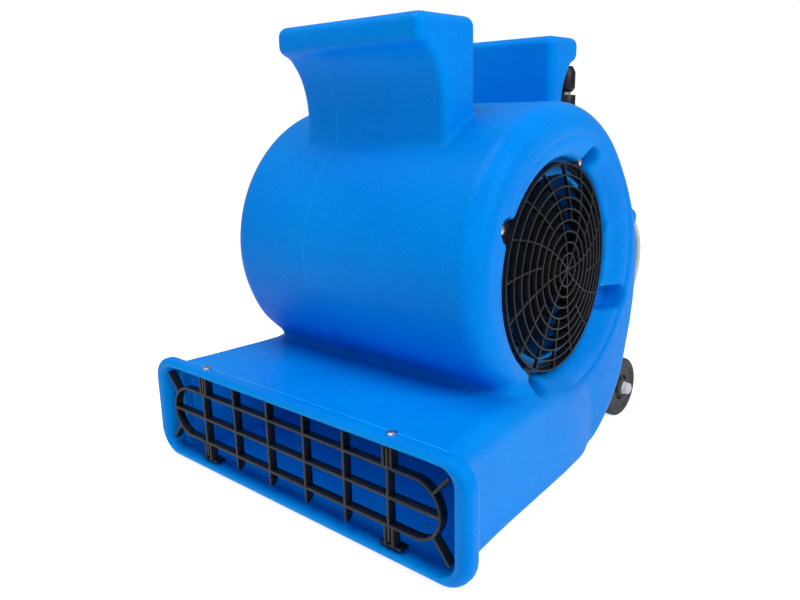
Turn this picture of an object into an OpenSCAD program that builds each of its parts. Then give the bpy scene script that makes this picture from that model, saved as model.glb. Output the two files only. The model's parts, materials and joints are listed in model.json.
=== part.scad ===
// Carpet-drying air mover: a rotomoulded scroll housing with a double-inlet blower inside,
// two transport wheels and a telescopic pull handle. Millimetres, +Z up, +Y to the rear.
// The origin is on the floor below the middle of the whole machine. The parts are drawn about the fan axis,
// with Y = 0 on it, and in_frame() moves each one into place.

/* [Housing] */
// Half width of the scroll between its side walls
scroll_half_w = 190; // [180:1:200]
// Height of the fan axis above the floor
axis_z = 254; // [250:1:260]
// Gap between the floor and the underside of the housing
foot_h = 6; // [5:1:8]
// Wall thickness of the moulding
wall = 4; // [3.5:0.5:5]
// Radius of the soft edge round each side wall
rim_r = 26; // [16:1:30]
// Height of the front horn above the floor
horn_top_z = 526; // [515:1:530]

/* [Outlet] */
// Half width of the outlet lip
lip_half_w = 250; // [248:1:256]
// Half width of the outlet opening
mouth_half_w = 233; // [230:1:235]
// Front face of the outlet lip, ahead of the fan axis
lip_y = -268; // [-275:1:-262]
// Spacing of the upright bars of the outlet grille
bar_pitch = 60; // [58:0.5:61]
// Spacing of the grille's three rails
rail_pitch = 31; // [29:0.5:32]

/* [Inlets] */
// Radius of the outermost ring of an inlet grille
guard_r = 118; // [114:1:120]
// Number of rings in an inlet grille
guard_rings = 9; // [7:1:9]
// Radius on which the grille screws stand
guard_screw_r = 130; // [128:1:132]
// Inside radius of the inlet collar
collar_r = 104; // [100:1:106]
// How far each inlet grille and its recess face towards the rear, in degrees
inlet_tilt = 3; // [0:0.5:7]

/* [Fan] */
// Outer radius of the blower wheel
wheel_fan_r = 128; // [120:1:130]
// Number of blades round the blower wheel
blades = 36; // [24:1:40]
// Radius of the motor casing
motor_r = 68; // [60:1:70]

/* [Running gear] */
// Radius of a transport wheel
wheel_r = 42; // [40:1:44]
// Width of a transport wheel
wheel_w = 27; // [24:1:28]
// Radius of the wheel axle
axle_r = 5; // [4.5:0.5:6]

/* [Pull handle] */
// Distance from the centre plane to a handle tube
tube_x = 48; // [44:1:50]
// Travel of the pull handle
handle_travel = 300; // [200:10:310]

/* [Hidden] */
$fn = 64;
eps = 0.01;

// Housing: the scroll's radius about the fan axis, as angle (from the rear, upwards) and radius
scroll_points = [[-52, 250], [-35, 231], [-15, 212], [0, 203], [15, 193], [35, 185], [55, 185], [80, 185],
                 [105, 183], [130, 182], [155, 180], [180, 176], [205, 168], [232, 162]];
scroll_step = 6;
scroll_foot_z = foot_h + 2;
base_corner = [[150, 24], [136, 11], [118, 0]];
scroll_front_y = -105;
duct_top_z = 133.5;
mouth_floor_z = 15;
mouth_top_z = 124.5;
mouth_corner_r = 18;
lip_depth = 28;
lip_corner_r = 28;
lip_edge = 3.5;
lip_low_r = 34;
lip_drop = 3;

// Duct and base, as upright sections from the neck to the rear: place, half width, height of the top
duct_sections = [[-238, 236, 130.5], [-150, 212, 131.5], [-70, 203, 130], [40, 193, 100], [158, 165, 70]];
duct_corner_r = 32;
duct_low_r = 9;
slab_t = 2;

recess_r = guard_r + 6;
recess_floor_x = 168;
collar_inner_x = 131;
lug_angles = [63, 153, 243, 333];

// Horns: half width, front and rear planes, overhang of the flared lip
front_horn = [108, -155, -60];
rear_horn = [77, 222, 152];
horn_waist = 41;
horn_lip_h = 26;
horn_sweep_h = 72;
horn_corner_r = 13;
horn_base_z = 300;
rear_horn_top_z = horn_top_z - 3;

// Axle block between the wheels
block_half_w = 134;
block_rear_y = 246;
block_top_z = 80;
axle_y = 219;
axle_z = wheel_r;

// Outlet grille
grille_y = -264;
grille_depth = 10;
bar_corner_r = 7;
pad_depth = 12;
rib = 3;
mid_rail_z = 71;
rail_end_x = 183;
bar_x = [for (i = [-2.5:1:2.5]) i * bar_pitch];

// Inlet grille
guard_inner_r = 19;
guard_pitch = (guard_r - guard_inner_r) / (guard_rings - 1);
guard_depth = 9;
guard_rib = 1.7;
ring_back = 6;
spoke_depth = 4;
guard_front_x = recess_floor_x + 3 + guard_depth;
guard_crown = 11;
spoke_arc_r = 1.55 * guard_r;
long_spokes = 8;

// Fan and motor
fan_half_w = 124;
blade_inner_r = 106;
blade_t = 1.2;
end_ring_t = 3;
plate_t = 2;
shaft_r = 7;
hub_r = 20;
hub_half = 18;
motor_in_x = -24;
motor_out_x = -150;
bell_t = 16;
rotor_r = 40;
bearing_r = 17.5;
bearing_w = 11;
tie_bolt_r = 2.2;
run_gap = 0.05;
flange_t = 2.5;

// Wheels and axle
wheel_in_x = 140;
wheel_out_x = wheel_in_x + wheel_w;
axle_end_x = wheel_out_x + 8;

// Pull handle
tube_y = 238;
outer_tube_r = 10;
outer_tube_wall = 1.4;
inner_tube_r = outer_tube_r - outer_tube_wall - 0.3;
inner_tube_wall = 1.2;
tube_bottom_z = 88;
outer_tube_top_z = 447;
upper_bracket_z = [404, 449];
upper_screw_z = [upper_bracket_z[0] + 10, upper_bracket_z[1] - 10];
lower_bracket_z = [block_top_z, 116];
lower_screw_y = tube_y - 2;
grip_z = [453, 488];
grip_half_w = 62;
grip_depth = 27;
button_half_w = 19;
button_travel = 4;
rod_r = 2;
pin_r = 2.5;
pin_z = 108;

// Control panel on the rear left shoulder
panel_x = -121;
panel_angle = 42;
panel_r = 186;
panel_size = [84, 96, 4];
knob_y = 16;
gland_y = -30;

// Lifting bows
bow_x = 163;
bow_z = [172, 288];
bow_r = 4;
bow_out_y = 252;
bow_seat_y = 208;
bow_foot_h = 5;
bow_screw_x = 8.6;

// ---- Shared shapes ----

// Moves a part drawn about the fan axis to its place about the middle of the machine
module in_frame() {
    translate([0, -(lip_y + hank_y + plug_r) / 2, 0]) children();
}

// A shape drawn in the XY plane and extruded along Z is turned so that its X is +Y, its Y is +Z and it runs along +X
module side_on(x) {
    translate([x, 0, 0]) rotate([90, 0, 90]) children();
}

// A cylinder along X between two places
module rod_x(x0, x1, r) {
    side_on(min(x0, x1)) cylinder(r = r, h = abs(x1 - x0));
}

// A tube along X between two places
module tube_x_dir(x0, x1, r_out, r_in) {
    difference() {
        rod_x(x0, x1, r_out);
        rod_x(min(x0, x1) - 1, max(x0, x1) + 1, r_in);
    }
}

// A flat bar seen from the front, from y0 to y1, with one radius on its upper edges and one on its lower edges
module front_slab(half_w, z0, z1, r, y0, y1, low_r) {
    translate([0, y1, 0]) rotate([90, 0, 0]) linear_extrude(y1 - y0) hull()
        for (x = [-1, 1]) {
            translate([x * (half_w - r), z1 - r]) circle(r, $fn = 24);
            translate([x * (half_w - low_r), z0 + low_r]) circle(low_r, $fn = 24);
        }
}

// A pan-head screw: shank down -Z from the seat at the origin, domed head with a cross recess above it
module pan_screw(r, length, head_r, head_h) {
    translate([0, 0, -length]) cylinder(r = r, h = length + eps);
    difference() {
        intersection() {
            cylinder(r = head_r, h = head_h);
            translate([0, 0, head_h - 2 * head_r]) sphere(2 * head_r);
        }
        for (a = [0, 90])
            rotate([0, 0, a]) translate([-head_r * 0.6, -0.4, head_h - 1.2]) cube([head_r * 1.2, 0.8, 2]);
    }
}

// Places a child on a circle about the fan axis, with its +Z pointing out of the chosen side
module on_side(side, x, r, angle) {
    translate([side * x, r * cos(angle), axis_z + r * sin(angle)]) rotate([0, side * 90, 0]) children();
}

// ---- Housing ----

// Radius of the scroll at an angle, joined smoothly through the control points
function scroll_span(a, i = 0) = (i >= len(scroll_points) - 2 || a < scroll_points[i + 1][0]) ? i : scroll_span(a, i + 1);
function slope_at(i) =
    let (lo = max(i - 1, 0), hi = min(i + 1, len(scroll_points) - 1))
    (scroll_points[hi][1] - scroll_points[lo][1]) / (scroll_points[hi][0] - scroll_points[lo][0]);
function scroll_radius(a) =
    let (i = scroll_span(a), p = scroll_points[i], q = scroll_points[i + 1], w = q[0] - p[0], t = (a - p[0]) / w)
    p[1] * (1 + 2 * t) * pow(1 - t, 2) + q[1] * t * t * (3 - 2 * t)
        + w * (slope_at(i) * t * pow(1 - t, 2) - slope_at(i + 1) * t * t * (1 - t));

// How far back the scroll's rear surface lies at a height
function rear_y(z, a = 0, tries = 3) =
    let (y = sqrt(pow(scroll_radius(a), 2) - pow(z - axis_z, 2)))
    tries == 0 ? y : rear_y(z, atan2(z - axis_z, y), tries - 1);

// The scroll's outline in the side view, drawn inwards by a chosen inset
function scroll_outline(inset) = concat(
    [for (a = [-52:scroll_step:232]) let (r = scroll_radius(a) - inset) [r * cos(a), axis_z + r * sin(a)]],
    [[scroll_front_y + inset, scroll_foot_z + inset]],
    [for (i = [len(base_corner) - 1:-1:0])
        [base_corner[i][0] - inset * 0.6, scroll_foot_z + base_corner[i][1] + inset * (i == 2 ? 1 : 0.8)]]);

// The scroll as a soft-edged solid: the outline steps inwards as it nears each side wall
module scroll_solid(half_w, edge_r, inset) {
    hull()
        for (turn = [0:30:90]) {
            x = half_w - edge_r * (1 - sin(turn));
            side_on(-x) linear_extrude(2 * x) polygon(scroll_outline(inset + edge_r * (1 - cos(turn))));
        }
}

// One upright section of the duct and base, drawn inwards by an inset
module duct_section(i, inset) {
    y = duct_sections[i][0] - (i == len(duct_sections) - 1 ? inset : 0);
    front_slab(duct_sections[i][1] - inset, foot_h + inset, duct_sections[i][2] - inset, duct_corner_r - inset,
               y - slab_t / 2, y + slab_t / 2, duct_low_r - inset);
}

module duct(inset) {
    for (i = [0:len(duct_sections) - 2]) hull() {
        duct_section(i, inset);
        duct_section(i + 1, inset);
    }
}

// The rolled lip round the outlet, joined to the first section of the duct
module lip() {
    hull() {
        front_slab(lip_half_w - lip_edge, lip_drop + lip_edge, duct_top_z - lip_edge, lip_corner_r - lip_edge,
                   lip_y, lip_y + 1, lip_low_r - lip_edge);
        front_slab(lip_half_w, lip_drop, duct_top_z, lip_corner_r, lip_y + lip_edge, lip_y + lip_depth - 8, lip_low_r);
        duct_section(0, 0);
    }
}

// The opening through the lip into the duct
module mouth() {
    hull() {
        front_slab(mouth_half_w, mouth_floor_z, mouth_top_z, mouth_corner_r, lip_y - 1, lip_y + 1, mouth_corner_r);
        duct_section(0, wall);
    }
}

// Side outline of a horn: straight on its inner face, hollow on its outer face under a flared lip
module horn_outline(outer_y, inner_y, top_z, inset) {
    out = sign(outer_y - inner_y);
    o = outer_y - out * inset;
    n = inner_y + out * inset;
    t = top_z - inset;
    polygon(concat(
        [[n, horn_base_z - inset], [n, t - 6], [n + out * 6, t], [o - out * 8, t], [o, t - 8]],
        [for (a = [0:15:90]) [o - out * horn_waist * sin(a), t - horn_lip_h - horn_sweep_h * (1 - cos(a))]],
        [[o - out * horn_waist, horn_base_z - inset]]));
}

module horn(outer_y, inner_y, half_w, top_z, inset) {
    mid_y = (outer_y + inner_y) / 2;
    half_d = abs(outer_y - inner_y) / 2 - inset;
    intersection() {
        side_on(-half_w) linear_extrude(2 * half_w) horn_outline(outer_y, inner_y, top_z, inset);
        translate([0, mid_y, 0]) linear_extrude(top_z) hull()
            for (x = [-1, 1], y = [-1, 1])
                translate([x * (half_w - inset - horn_corner_r), y * (half_d - horn_corner_r)])
                    circle(horn_corner_r, $fn = 24);
    }
}

module both_horns(inset) {
    horn(front_horn[1], front_horn[2], front_horn[0], horn_top_z, inset);
    horn(rear_horn[1], rear_horn[2], rear_horn[0], rear_horn_top_z, inset);
}

// Turns an inlet's parts about the upright line through the middle of its seat
module tilted(side) {
    translate([side * recess_floor_x, 0, 0]) rotate([0, 0, side * inlet_tilt])
        translate([-side * recess_floor_x, 0, 0]) children();
}

// A flat outline about the fan axis, run outwards from the inlet seat
module from_seat(side, start, length) {
    side_on(side > 0 ? recess_floor_x + start : -recess_floor_x - start - length)
        linear_extrude(length) translate([0, axis_z]) children();
}

// The stepped seat for one inlet grille, with its four screw pockets, and the collar behind it
module inlet_seat(side) {
    intersection() {
        tilted(side) from_seat(side, -wall, 60) {
            circle(recess_r + wall);
            for (a = lug_angles) rotate(a) translate([guard_screw_r, 0]) circle(20, $fn = 32);
        }
        translate([side > 0 ? 0 : 1 - scroll_half_w, -300, 0]) cube([scroll_half_w - 1, 600, 600]);
    }
    translate([0, 0, axis_z]) rod_x(side * collar_inner_x, side * (recess_floor_x + 12), collar_r + wall);
}

module inlet_cut(side) {
    tilted(side) from_seat(side, 0, 90) {
        circle(recess_r);
        for (a = lug_angles) rotate(a) hull() {
            translate([guard_screw_r - 12, 0]) circle(14, $fn = 32);
            translate([guard_screw_r, 0]) circle(14, $fn = 32);
        }
    }
    translate([0, 0, axis_z]) rod_x(side * (collar_inner_x - 1), side * (recess_floor_x + 20), collar_r);
}

// Solid block between the wheels that carries the axle and the foot of the pull handle
module axle_block(inset) {
    r = 12 - inset;
    hull()
        for (x = [-1, 1], z = [foot_h + 13, block_top_z - 12])
            translate([x * (block_half_w - 12), 100 + inset, z]) rotate([-90, 0, 0])
                cylinder(r = r, h = block_rear_y - 100 - 2 * inset, $fn = 24);
}

// Flat-faced bosses on the rear of the scroll for the feet of the lifting bows
module bow_bosses() {
    for (x = [-bow_x, bow_x], z = bow_z)
        translate([x, rear_y(z) - 6, z]) rotate([-90, 0, 0]) cylinder(r = 13.5, h = bow_seat_y - rear_y(z) + 6);
}

// Room in the wall for the switch body behind the control panel
module panel_opening() {
    on_panel() translate([0, 0, -50]) {
        translate([0, knob_y, 0]) cylinder(r = 26, h = 60);
        translate([0, gland_y, 0]) cylinder(r = 11, h = 60);
    }
}

// Flat pad moulded on the shoulder for the control panel
module panel_pad() {
    on_panel() translate([-panel_size[0] / 2 - 4, -panel_size[1] / 2 - 4, -26])
        cube([panel_size[0] + 8, panel_size[1] + 8, 26 - eps]);
}

module housing() {
    color("deepskyblue") in_frame() difference() {
        union() {
            difference() {
                union() {
                    scroll_solid(scroll_half_w, rim_r, 0);
                    duct(0);
                    lip();
                    both_horns(0);
                    panel_pad();
                    axle_block(0);
                }
                scroll_solid(scroll_half_w - wall, rim_r - wall, wall);
                duct(wall);
                mouth();
                both_horns(wall);
                axle_block(wall);
            }
            inlet_seat(1);
            inlet_seat(-1);
            bow_bosses();
        }
        inlet_cut(1);
        inlet_cut(-1);
        panel_opening();
        translate([0, axle_y, axle_z]) rod_x(-block_half_w - 1, block_half_w + 1, axle_r + 0.4);
    }
}

// ---- Outlet grille ----

// A straight rib seen from the front between two points
module front_rib(x0, z0, x1, z1, t, depth) {
    run = norm([x1 - x0, z1 - z0]);
    translate([x0, grille_y, z0]) rotate([0, -atan2(z1 - z0, x1 - x0), 0])
        translate([-t / 2, 0, -t / 2]) cube([run + t, depth, t]);
}

module rail_loop() {
    for (row = [-1:1])
        front_rib(-rail_end_x, mid_rail_z + row * rail_pitch, rail_end_x, mid_rail_z + row * rail_pitch,
                  rib, grille_depth);
    for (side = [-1, 1]) {
        translate([side * rail_end_x, grille_y, mid_rail_z]) rotate([-90, 0, 0])
            rotate([0, 0, side * 90 - 180]) rotate_extrude(angle = 180)
                translate([rail_pitch - rib / 2, 0]) square([rib, grille_depth]);
        front_rib(side * rail_end_x, mid_rail_z, side * (rail_end_x + rail_pitch), mid_rail_z, rib, grille_depth);
        for (up = [-1, 1])
            front_rib(side * (rail_end_x + rail_pitch * 0.72), mid_rail_z + up * rail_pitch * 0.7,
                      side * 223.5, mid_rail_z + up * (up > 0 ? 43 : 44), rib, grille_depth);
    }
}

// An upright bar whose lower rear corner is rounded off
module grille_bar(x) {
    rear_y = grille_y + grille_depth;
    low_z = 22;
    side_on(x - rib / 2) linear_extrude(rib) polygon(concat(
        [[rear_y, mouth_top_z - 1], [grille_y, mouth_top_z - 1], [grille_y, low_z]],
        [for (a = [0:15:90]) [rear_y - bar_corner_r + bar_corner_r * sin(a),
                              low_z + bar_corner_r * (1 - cos(a))]]));
}

module outlet_grille() {
    color("#15191b") in_frame() union() {
        rail_loop();
        for (x = bar_x) grille_bar(x);
        for (side = [-1, 1]) translate([side * 2.5 * bar_pitch, 0, 0]) {
            for (dx = [-5, 5]) {
                front_rib(dx, mid_rail_z + rail_pitch, dx, mouth_top_z - 2.5, rib, grille_depth);
                front_rib(dx, 18, dx, mid_rail_z - rail_pitch, rib, grille_depth);
            }
            translate([-14, grille_y + 2, mouth_floor_z + 0.2]) cube([28, pad_depth, 3]);
            translate([-6.5, grille_y + 2, mouth_top_z - 4]) cube([13, pad_depth, 3.5]);
        }
    }
}

// Two screws through the top of the duct and two through its floor
module outlet_grille_screws() {
    color("gainsboro") in_frame() for (side = [-1, 1]) {
        translate([side * 2.5 * bar_pitch, grille_y + 9, duct_top_z + 0.05]) pan_screw(2, 16, 5.5, 3.2);
        translate([side * 2.5 * bar_pitch, grille_y + 9, lip_drop - 0.05]) mirror([0, 0, 1]) pan_screw(2, 12, 5, 2.6);
    }
}

// ---- Inlet grilles ----

// A ring about the fan axis
module guard_ring(r, x0, x1, t) {
    translate([0, 0, axis_z]) tube_x_dir(x0, x1, r + t / 2, r - t / 2);
}

// How far a point of the guard stands forward of its outer ring
function crown_at(r) = guard_crown * (1 - pow(r / guard_r, 2));

// One swept spoke: part of a larger circle that leaves the centre, from a radius out to the outer ring
module guard_spoke(angle, r0) {
    start = 2 * asin(r0 / (2 * spoke_arc_r));
    finish = 2 * asin(guard_r / (2 * spoke_arc_r));
    rotate([0, 0, angle]) translate([0, spoke_arc_r, 0]) rotate([0, 0, start - 90])
        rotate_extrude(angle = finish - start)
            translate([spoke_arc_r - guard_rib / 2, -spoke_depth - 1]) square([guard_rib, guard_crown + spoke_depth + 2]);
}

// The crowned layer that the spokes lie in
module spoke_layer() {
    rings = [for (i = [0:guard_rings]) i * (guard_r + 1) / guard_rings];
    rotate_extrude() polygon(concat(
        [for (r = rings) [r, crown_at(r) - 0.6]],
        [for (i = [guard_rings:-1:0]) [rings[i], crown_at(rings[i]) - 0.6 - spoke_depth]]));
}

// Rings standing forward in a crown, held by long and short swept spokes, with four screw lugs
module inlet_grille(side) {
    front = side * guard_front_x;
    for (i = [0:guard_rings - 1]) {
        r = guard_inner_r + i * guard_pitch;
        last = i == guard_rings - 1;
        guard_ring(r, front + side * crown_at(r), front - side * (last ? guard_depth : ring_back), guard_rib);
    }
    translate([0, 0, axis_z]) rod_x(front + side * (guard_crown - 1), front - side * ring_back, 5);
    translate([front, 0, axis_z]) mirror([side > 0 ? 0 : 1, 0, 0]) side_on(0) intersection() {
        for (i = [0:long_spokes - 1]) {
            guard_spoke(i * 360 / long_spokes + 2, 3);
            guard_spoke((i + 0.5) * 360 / long_spokes + 2, guard_inner_r + 3 * guard_pitch);
        }
        spoke_layer();
    }
    for (a = lug_angles) difference() {
        union() {
            on_side(side, recess_floor_x + 0.2, guard_screw_r, a) cylinder(r = 9, h = 4);
            from_seat(side, 0.2, 4) rotate(a) translate([guard_r - 1, -9]) square([guard_screw_r - guard_r + 1, 18]);
        }
        on_side(side, recess_floor_x - 1, guard_screw_r, a) cylinder(r = 2.3, h = 8);
    }
    guard_ring(guard_r - 1.5, side * (recess_floor_x + 0.2), side * (recess_floor_x + 3.5), 5);
}

module inlet_grille_right() {
    color("#15191b") in_frame() tilted(1) inlet_grille(1);
}

module inlet_grille_left() {
    color("#15191b") in_frame() tilted(-1) inlet_grille(-1);
}

module inlet_grille_screws() {
    color("gainsboro") in_frame() for (side = [-1, 1]) tilted(side) for (a = lug_angles)
        on_side(side, recess_floor_x + 4.3, guard_screw_r, a) pan_screw(2, 9, 4.6, 2.6);
}

// ---- Fan ----

module impeller() {
    color("#24282a") in_frame() translate([0, 0, axis_z]) {
        for (side = [-1, 1])
            tube_x_dir(side * (fan_half_w - end_ring_t), side * fan_half_w, wheel_fan_r, blade_inner_r);
        tube_x_dir(-plate_t / 2, plate_t / 2, wheel_fan_r, hub_r - 4);
        for (i = [0:blades - 1]) rotate([i * 360 / blades, 0, 0]) translate([0, blade_inner_r + 0.5, 0])
            rotate([28, 0, 0]) translate([-fan_half_w, 0, -blade_t / 2])
                cube([2 * fan_half_w, (wheel_fan_r - blade_inner_r) * 1.02, blade_t]);
    }
}

module impeller_hub() {
    color("silver") in_frame() translate([0, 0, axis_z]) difference() {
        union() {
            rod_x(-hub_half, hub_half, hub_r - 4.01);
            tube_x_dir(plate_t / 2 + eps, plate_t / 2 + 4, hub_r + 12, hub_r - 5);
        }
        rod_x(-hub_half - 1, hub_half + 1, shaft_r + 0.01);
        translate([hub_half - 7, 0, 0]) cylinder(r = 3, h = 30);
    }
}

module hub_set_screw() {
    color("dimgray") in_frame() translate([hub_half - 7, 0, axis_z + shaft_r + 0.2]) difference() {
        cylinder(r = 2.95, h = 10);
        translate([0, 0, 7]) cylinder(r = 1.4, h = 4, $fn = 6);
    }
}

module motor_shaft() {
    color("silver") in_frame() translate([0, 0, axis_z]) rod_x(motor_out_x - 6, hub_half + 6, shaft_r);
}

module motor_rotor() {
    color("slategray") in_frame() translate([0, 0, axis_z])
        tube_x_dir(motor_out_x + bell_t + 18, motor_in_x - bell_t - 18, rotor_r, shaft_r);
}

module motor_stator() {
    color("#3a3f42") in_frame() translate([0, 0, axis_z]) difference() {
        union() {
            rod_x(motor_out_x + bell_t, motor_in_x - bell_t, motor_r);
            for (i = [0:23]) rotate([i * 15, 0, 0])
                translate([motor_out_x + bell_t + 6, motor_r - 1, -1.2])
                    cube([motor_in_x - motor_out_x - 2 * bell_t - 12, 4, 2.4]);
        }
        rod_x(motor_out_x, motor_in_x, rotor_r + 1);
        at_tie_bolts() rod_x(motor_out_x, motor_in_x, tie_bolt_r + 0.2);
    }
}

// Places a child at each of the four bolts that clamp the two end bells together
module at_tie_bolts() {
    for (a = [0:90:270]) rotate([a + 45, 0, 0]) translate([0, 56, 0]) children();
}

// End bell with a bearing seat; outer is the flat side of the casing it closes
module end_bell(x_open, x_closed) {
    dir = sign(x_closed - x_open);
    translate([0, 0, axis_z]) difference() {
        rod_x(x_open, x_closed, motor_r + 1);
        rod_x(x_open - dir * 1, x_open + dir * (bell_t - 12), motor_r - 5);
        rod_x(x_open, x_open + dir * (bell_t - 4), bearing_r);
        rod_x(x_open, x_closed + dir, shaft_r + 1);
        for (a = [0:60:300]) rotate([a + 30, 0, 0]) translate([0, 40, 0]) rod_x(x_open - dir, x_closed + dir, 7);
        at_tie_bolts() rod_x(x_open - dir, x_closed + dir, tie_bolt_r + 0.2);
    }
}

module motor_inner_bell() {
    color("silver") in_frame() end_bell(motor_in_x - bell_t, motor_in_x);
}

module motor_outer_bell() {
    color("silver") in_frame() end_bell(motor_out_x + bell_t, motor_out_x);
}

module motor_bearings() {
    color("lightgray") in_frame() translate([0, 0, axis_z]) {
        tube_x_dir(motor_in_x - 4 - bearing_w - eps, motor_in_x - 4 - eps, bearing_r, shaft_r + run_gap);
        tube_x_dir(motor_out_x + 4 + eps, motor_out_x + 4 + bearing_w + eps, bearing_r, shaft_r + run_gap);
    }
}

module motor_tie_bolts() {
    color("silver") in_frame() translate([0, 0, axis_z]) at_tie_bolts() {
        rod_x(motor_out_x - 1, motor_in_x + 1, tie_bolt_r);
        rod_x(motor_out_x - 4, motor_out_x - 0.05, 4.2, $fn = 6);
        rod_x(motor_in_x + 0.05, motor_in_x + 4, 4.2);
    }
}

// Four-armed steel cradle: a band round the casing and bent arms out to flanges on the left inlet seat
module motor_mount() {
    arm_x = motor_out_x + bell_t + 1;
    color("#1b1e20") in_frame() difference() {
        union() {
            translate([0, 0, axis_z]) tube_x_dir(arm_x, arm_x + 4, motor_r + 12, motor_r);
            for (a = lug_angles) {
                mount_plate(arm_x, 4, a, motor_r + 8, collar_r - 1);
                mount_plate(-recess_floor_x - 20, recess_floor_x + 24 + arm_x, a, collar_r - 5, collar_r - 1);
                tilted(-1) mount_plate(-recess_floor_x - flange_t, flange_t - eps, a, collar_r - 5, collar_r + 7.5);
            }
        }
        tilted(-1) from_seat(-1, flange_t, 40) circle(recess_r);
        tilted(-1) for (a = lug_angles)
            on_side(-1, recess_floor_x - 1, collar_r + 3, a + 45) cylinder(r = 1.7, h = flange_t + 2);
    }
}

// A flat rectangle of the cradle: it starts at x, is t thick and reaches from radius r0 to r1 at an angle
module mount_plate(x, t, a, r0, r1) {
    side_on(x) linear_extrude(t) translate([0, axis_z]) rotate(a + 45) translate([r0, -12]) square([r1 - r0, 24]);
}

module motor_mount_screws() {
    color("silver") in_frame() tilted(-1) for (a = lug_angles)
        on_side(-1, recess_floor_x + 2.6, collar_r + 3, a + 45) pan_screw(1.5, 8, 3.6, 2.4);
}

module run_capacitor() {
    color("whitesmoke") in_frame() translate([0, 0, axis_z + motor_r + 22]) {
        rod_x(motor_out_x + bell_t + 12, motor_in_x - bell_t - 12, 13);
        for (y = [-5, 5]) translate([motor_in_x - bell_t - 12, y - 0.4, -3]) cube([7, 0.8, 6]);
    }
}

module capacitor_clip() {
    color("silver") in_frame() translate([0, 0, axis_z + motor_r + 22]) {
        translate([-88, 0, 0]) tube_x_dir(-5, 5, 14.5, 13.02);
        translate([-93, -10, -18.9]) cube([10, 20, 5.3]);
    }
}

// ---- Controls ----

// Places a child on the control panel: +Z out of the panel, +Y up along it
module on_panel() {
    translate([panel_x, panel_r * cos(panel_angle), axis_z + panel_r * sin(panel_angle)])
        rotate([0, 0, 180]) rotate([90 - panel_angle, 0, 0]) children();
}

module control_panel() {
    w = panel_size[0];
    h = panel_size[1];
    color("#202427") in_frame() on_panel() difference() {
        union() {
            translate([-w / 2, -h / 2, 0]) cube([w, h, panel_size[2]]);
            translate([0, knob_y, panel_size[2]]) cylinder(r = 27, h = 1.2);
        }
        translate([0, knob_y, -1]) cylinder(r = 5.5, h = 12);
        translate([0, gland_y, -1]) cylinder(r = 9.5, h = 12);
        for (x = [-1, 1], y = [-1, 1]) translate([x * (w / 2 - 8), y * (h / 2 - 8), -1]) cylinder(r = 2.2, h = 12);
    }
}

module control_panel_screws() {
    color("gainsboro") in_frame() on_panel() for (x = [-1, 1], y = [-1, 1])
        translate([x * (panel_size[0] / 2 - 8), y * (panel_size[1] / 2 - 8), panel_size[2] + 0.1])
            pan_screw(1.9, 14, 4, 2.4);
}

module rotary_switch() {
    color("#303538") in_frame() on_panel() translate([0, knob_y, 0]) {
        translate([-17, -17, -28]) cube([34, 34, 28 - eps]);
        translate([0, 0, -eps]) cylinder(r = 5, h = 5.5);
        for (x = [-9, 0, 9]) translate([x - 3, -0.4, -36]) cube([6, 0.8, 9]);
    }
}

module speed_knob() {
    color("#101213") in_frame() on_panel() translate([0, knob_y, panel_size[2] + 1.6]) {
        cylinder(r = 17, h = 7);
        translate([-16, -4.5, 7 - eps]) cube([32, 9, 9]);
        difference() {
            translate([0, 0, 7 - eps]) cylinder(r = 12, h = 6);
            translate([-20, -20, 6]) cube([40, 12, 12]);
        }
    }
}

module cord_gland() {
    color("#101213") in_frame() on_panel() translate([0, gland_y, 0]) difference() {
        union() {
            translate([0, 0, -12]) cylinder(r = 9.3, h = 12 + panel_size[2] + 0.2);
            translate([0, 0, panel_size[2] + 0.1]) cylinder(r = 13, h = 6, $fn = 6);
            translate([0, 0, panel_size[2] + 6]) cylinder(r1 = 9, r2 = 6.5, h = 14);
        }
        translate([0, 0, -14]) cylinder(r = 4.3, h = 60);
    }
}

// Cord: a stub through the gland, a bend down, and a hank hung behind the two handle tubes
hank_y = tube_y + outer_tube_r + 14;
hank_z = 290;
hank_bundle_r = 12;
cord_r = 4.2;
plug_x = 20;
plug_r = 19;
plug_top_z = hank_z - tube_x - hank_bundle_r - 6;

module power_cord() {
    color("#1a1a1a") in_frame() {
        on_panel() translate([0, gland_y, -20]) cylinder(r = cord_r, h = 56);
        translate([0, hank_y, hank_z]) rotate([90, 0, 0]) rotate_extrude() translate([tube_x, 0]) circle(hank_bundle_r);
        translate([plug_x, hank_y, plug_top_z]) cylinder(r = cord_r, h = 20);
        cord_link();
    }
}

// The stretch of cord between the gland and the hank
module cord_link() {
    tip = [panel_x, panel_r * cos(panel_angle), axis_z + panel_r * sin(panel_angle)]
        + gland_y * [0, -sin(panel_angle), cos(panel_angle)] + 36 * [0, cos(panel_angle), sin(panel_angle)];
    bend = [-tube_x - 20, hank_y - 6, hank_z + 55];
    landing = [-tube_x / 2, hank_y + 2, hank_z + tube_x * 0.85];
    for (run = [[tip, bend], [bend, landing]]) hull()
        for (end = run) translate(end) sphere(cord_r, $fn = 16);
}

module power_plug() {
    color("#1a1a1a") in_frame() translate([plug_x, hank_y, plug_top_z - eps]) {
        rotate([180, 0, 0]) cylinder(r1 = 9, r2 = plug_r, h = 34);
        translate([0, 0, -52]) cylinder(r = plug_r, h = 18.01);
        for (x = [-9.5, 9.5]) translate([x, 0, -71]) cylinder(r = 2.4, h = 19.01);
    }
}

// Outline of a strap loop round one handle tube and the hank behind it
module strap_loop(r) {
    hull() {
        translate([0, tube_y]) circle(r, $fn = 32);
        translate([0, hank_y]) circle(r, $fn = 32);
    }
}

module cord_strap() {
    color("#2a2a2a") in_frame() for (side = [-1, 1]) translate([side * (tube_x - 0.5), 0, hank_z - 11]) linear_extrude(22)
        difference() {
            strap_loop(hank_bundle_r + 3.4);
            strap_loop(hank_bundle_r + 1.8);
        }
}

// ---- Running gear ----

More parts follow.
